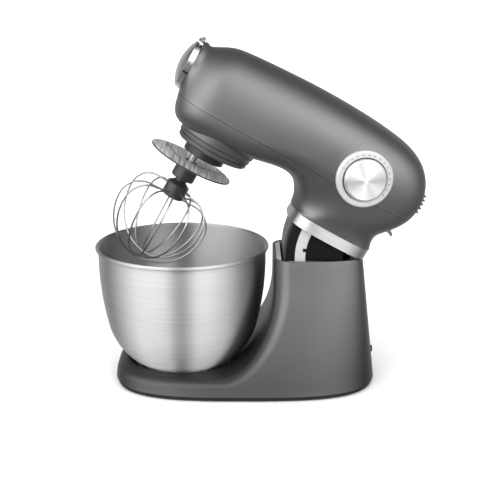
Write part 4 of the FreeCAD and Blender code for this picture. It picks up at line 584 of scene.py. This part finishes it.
class MIXER_OT_dial_marks(bpy.types.Operator):
    """Puts the dots on the dial ring, and a thin dark ring of painted shade round the knob's recess"""
    bl_idname = "mixer.dial_marks"
    bl_label = "Dial marks"

    def execute(self, context):
        settings = context.scene.mixer_dial
        place = upright_frame(DIAL_PLACE, DIAL_OUT, Vector((0.0, 0.0, 1.0)))

        def build(shape):
            for step in range(settings.count):
                angle = settings.first + (settings.last - settings.first) * step / (settings.count - 1)
                step_out = Vector((math.cos(angle), math.sin(angle), 0.0)) * settings.circle
                spot = place @ Matrix.Translation(step_out)
                add_lathe(shape, [
                    (DOT_EYE, -MARK_DEPTH), (settings.dot, -MARK_DEPTH), (settings.dot, DOT_RISE * 0.5),
                    (settings.dot * 0.7, DOT_RISE), (DOT_EYE, DOT_RISE)], spot, 16)

        # Painted shade: a thin dark ring that stands for the shadow in the knob's recess.
        def recess_shade_ring(shape):
            add_lathe(shape, [
                (RECESS_SHADE_INSIDE, -MARK_DEPTH), (RECESS_SHADE_OUTSIDE, -MARK_DEPTH),
                (RECESS_SHADE_OUTSIDE, RECESS_SHADE_RISE * 0.4), (RECESS_SHADE_INSIDE, RECESS_SHADE_RISE)], place, 128)

        add_piece("dial_marks", build, moulded("mark_ink", rgb(0.16), 0.5), "head")
        add_piece("dial_recess_shade", recess_shade_ring, moulded("recess_shade_dark", rgb(0.05), 0.5), "head")
        return {"FINISHED"}


class MIXER_OT_disc_edge(bpy.types.Operator):
    """Gives the splash disc its dark edge and its two slits"""
    bl_idname = "mixer.disc_edge"
    bl_label = "Splash disc edge"

    def execute(self, context):
        low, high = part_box("splash_disc")
        middle = (Vector(low) + Vector(high)) / 2.0
        place = upright_frame(middle, HEAD_UP, HEAD_BACK)
        inside, shoulder = DISC_RADIUS - EDGE_WIDTH, DISC_RADIUS - EDGE_BEVEL
        outside = DISC_RADIUS + EDGE_RISE
        face, cover, flank = DISC_HALF, DISC_HALF + EDGE_RISE, DISC_HALF - EDGE_BEVEL
        edge = [(inside, face), (inside, cover), (shoulder, cover), (outside, flank),
                (outside, -flank), (shoulder, -cover), (inside, -cover), (inside, -face)]

        def build(shape):
            add_lathe(shape, edge, place, 128)
            for first, last, width in SLITS:
                start = middle + (HEAD_BACK * first[0] + ACROSS * first[1]) * MM
                end = middle + (HEAD_BACK * last[0] + ACROSS * last[1]) * MM
                slit = upright_frame((start + end) / 2.0, HEAD_UP, end - start)
                made = bmesh.ops.create_cube(shape, size=1.0)
                size = Matrix.Diagonal((width * MM, (end - start).length, 2.0 * cover, 1.0))
                bmesh.ops.transform(shape, matrix=slit @ size, verts=made["verts"])

        add_piece("splash_disc_edge", build, moulded("disc_edge", rgb(0.03), 0.4), "whisk")
        return {"FINISHED"}


class MIXER_OT_hub_sleeve(bpy.types.Operator):
    """Puts the sleeve round the upper barrel of the whisk hub"""
    bl_idname = "mixer.hub_sleeve"
    bl_label = "Whisk hub sleeve"

    def execute(self, context):
        low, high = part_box("splash_disc")
        top = (Vector(low) + Vector(high)) / 2.0 - HEAD_UP * SLEEVE_TOP
        place = upright_frame(top, HEAD_UP, HEAD_BACK)

        def build(shape):
            add_lathe(shape, [(radius * MM, height * MM) for radius, height in SLEEVE_PROFILE], place, 96)

        finish = moulded("sleeve_plastic", rgb(0.028), 0.3, grain=1200.0, depth=0.08)
        add_piece("hub_sleeve", build, finish, "whisk")
        return {"FINISHED"}


class MIXER_OT_vent_ribs(bpy.types.Operator):
    """Sets small ribs between the vents at the back of the head"""
    bl_idname = "mixer.vent_ribs"
    bl_label = "Vent ribs"

    def execute(self, context):
        shell = NODES["head_upper_shell"]
        inward = shell.matrix_world.inverted().to_3x3() @ Vector((-1.0, 0.0, 0.0))
        spots = []
        for height, side in itertools.product(VENT_LEVELS, (-VENT_SIDE, VENT_SIDE)):
            start = shell.matrix_world.inverted() @ Vector((BEHIND, side, height))
            found, hit, normal, _ = shell.ray_cast(start, inward)
            if not found:
                raise RuntimeError("a vent rib misses the head shell")
            spots.append((shell.matrix_world @ hit, (shell.matrix_world.to_3x3() @ normal).normalized()))

        def build(shape):
            for spot, normal in spots:
                made = bmesh.ops.create_cube(shape, size=1.0)
                size = Matrix.Diagonal(RIB_SIZE + (1.0,))
                side = upright_frame(spot, normal, normal.cross(ACROSS))
                bmesh.ops.transform(shape, matrix=side @ size, verts=made["verts"])
            bmesh.ops.bevel(shape, geom=list(shape.edges), offset=RIB_BEVEL, segments=3, affect="EDGES")

        look = context.scene.mixer_paint
        paint = satin_paint("rib_paint", tuple(look.colour), look.roughness, look.flake)
        add_piece("vent_ribs", build, paint, "head")
        return {"FINISHED"}


class MIXER_OT_stage(bpy.types.Operator):
    """Sets up the floor, the soft lights and the camera"""
    bl_idname = "mixer.stage"
    bl_label = "Stage"

    def execute(self, context):
        settings = context.scene.mixer_stage
        self.add_floor(tuple(settings.floor))
        self.add_flag()
        self.add_lights(context.scene)
        self.add_camera(context.scene, settings)
        return {"FINISHED"}

    def add_floor(self, colour):
        """A wide floor that bends up into a backdrop far behind."""
        mesh = bpy.data.meshes.new("floor")
        shape = bmesh.new()
        line = [(FLOOR_FRONT, 0.0), (FLOOR_DEPTH, 0.0)]
        for turn in range(SWEEP_STEP, 91, SWEEP_STEP):
            angle = math.radians(turn)
            rise = SWEEP_BEND - SWEEP_BEND * math.cos(angle)
            line.append((FLOOR_DEPTH + SWEEP_BEND * math.sin(angle), rise))
        line.append((FLOOR_DEPTH + SWEEP_BEND, SWEEP_TOP))
        rows = [[shape.verts.new((side * FLOOR_HALF, y, z)) for side in (-1, 1)] for y, z in line]
        for first, second in zip(rows, rows[1:]):
            shape.faces.new((first[0], first[1], second[1], second[0]))
        bmesh.ops.recalc_face_normals(shape, faces=shape.faces)
        shape.to_mesh(mesh)
        shape.free()
        floor = bpy.data.objects.new("floor", mesh)
        bpy.context.scene.collection.objects.link(floor)
        for face in mesh.polygons:
            face.use_smooth = True
        mesh.materials.append(floor_finish("pale_floor", colour))
        floor.visible_glossy = False

    def add_flag(self):
        """A low dark card in front, seen only in reflections, keeps the panels off the foot of the base."""
        mesh = bpy.data.meshes.new("flag")
        far = FLAG_NEAR - FLAG_LEAN
        corners = [(-FLAG_HALF, FLAG_NEAR, FLAG_LOW), (FLAG_HALF, FLAG_NEAR, FLAG_LOW),
                   (FLAG_HALF, far, FLAG_HIGH), (-FLAG_HALF, far, FLAG_HIGH)]
        mesh.from_pydata(corners, [], [(0, 1, 2, 3)])
        mesh.materials.append(moulded("flag_cloth", rgb(0.02), 0.9, grain=600.0, depth=0.1, specular=0.1))
        flag = bpy.data.objects.new("flag", mesh)
        bpy.context.scene.collection.objects.link(flag)
        flag.visible_camera = False
        flag.visible_diffuse = False
        flag.visible_shadow = False

    def add_lights(self, scene):
        scene.world = bpy.data.worlds.new("studio")
        self.surround(Graph(scene.world, "Background"))
        for name, (place, aim, size, power) in LIGHTS.items():
            data = bpy.data.lights.new(name, "AREA")
            data.shape = "RECTANGLE"
            data.size, data.size_y = size
            data.energy = power
            light = bpy.data.objects.new(name, data)
            light.location = place
            light.rotation_euler = (Vector(aim) - Vector(place)).to_track_quat("-Z", "Y").to_euler()
            light.visible_glossy = False
            scene.collection.objects.link(light)

    def surround(self, graph):
        """Two soft panels left and right of the camera, joined over it, in a dark room."""
        way = graph.vector("NORMALIZE", graph.add("ShaderNodeTexCoord").outputs["Generated"])
        parts = graph.add("ShaderNodeSeparateXYZ", (way,)).outputs
        angle = graph.math("ARCTAN2", parts["X"], graph.math("MULTIPLY", parts["Y"], -1.0))
        turn = graph.math("MULTIPLY", angle, 180.0 / math.pi)
        lift = graph.math("MULTIPLY", graph.math("ARCSINE", parts["Z"]), 180.0 / math.pi)
        aside = graph.math("ABSOLUTE", turn)
        above = graph.step(lift, *LOW_EDGE)
        sides = graph.math("MULTIPLY", graph.step(turn, *LEFT_EDGE), graph.step(turn, *RIGHT_EDGE))
        panel = graph.math("MULTIPLY", sides, graph.math("MULTIPLY", graph.step(lift, *CROWN_EDGE), above))
        opened = graph.math("MAXIMUM", graph.step(aside, *GAP_SIDE), graph.step(lift, *GAP_TOP))
        light = graph.math("MULTIPLY", panel, graph.spread(opened, GAP_SHARE, 1.0))
        back = graph.math("MULTIPLY", graph.step(aside, *BACK_TURN), graph.step(lift, *BACK_LIFT))
        room = graph.spread(above, ROOM_LOW, ROOM_HIGH)
        dim = graph.math("ADD", room, graph.math("MULTIPLY", back, BACK_SHARE))
        strength = graph.math("ADD", dim, graph.math("MULTIPLY", light, PANEL_STRENGTH))
        graph.set(Color=(1.0, 1.0, 1.0, 1.0), Strength=strength)

    def add_camera(self, scene, settings):
        data = bpy.data.cameras.new("camera")
        data.lens = settings.lens
        data.sensor_width = SENSOR_WIDTH
        camera = bpy.data.objects.new("camera", data)
        camera.location = (0.0, -settings.distance * math.cos(settings.pitch),
                           settings.aim + settings.distance * math.sin(settings.pitch))
        camera.rotation_euler = (math.pi / 2.0 - settings.pitch, 0.0, 0.0)
        scene.collection.objects.link(camera)
        scene.camera = camera
        scene.view_settings.view_transform = "Standard"


OPERATORS = (MIXER_OT_paint, MIXER_OT_steel, MIXER_OT_chrome, MIXER_OT_plastics, MIXER_OT_works,
             MIXER_OT_dial_marks, MIXER_OT_disc_edge, MIXER_OT_hub_sleeve, MIXER_OT_vent_ribs,
             MIXER_OT_stage)
SETTINGS = {"mixer_paint": PaintSettings, "mixer_metal": MetalSettings, "mixer_dial": DialSettings,
            "mixer_stage": StageSettings}


class MIXER_PT_panel(bpy.types.Panel):
    """Lists the steps that dress the mixer"""
    bl_idname = "MIXER_PT_panel"
    bl_label = "Stand mixer"
    bl_space_type = "VIEW_3D"
    bl_region_type = "UI"
    bl_category = "Mixer"

    def draw(self, context):
        for step in OPERATORS:
            self.layout.operator(step.bl_idname)
        for name, group in SETTINGS.items():
            box = self.layout.box()
            for field in group.__annotations__:
                box.prop(getattr(context.scene, name), field)


def register():
    for group in SETTINGS.values():
        bpy.utils.register_class(group)
    for name, group in SETTINGS.items():
        setattr(bpy.types.Scene, name, bpy.props.PointerProperty(type=group))
    for step in OPERATORS + (MIXER_PT_panel,):
        bpy.utils.register_class(step)


def unregister():
    for step in reversed(OPERATORS + (MIXER_PT_panel,)):
        bpy.utils.unregister_class(step)
    for name in SETTINGS:
        delattr(bpy.types.Scene, name)
    for group in SETTINGS.values():
        bpy.utils.unregister_class(group)


def main():
    register()
    for step in OPERATORS:
        group, action = step.bl_idname.split(".")
        getattr(getattr(bpy.ops, group), action)()


if __name__ == "__main__":
    main()
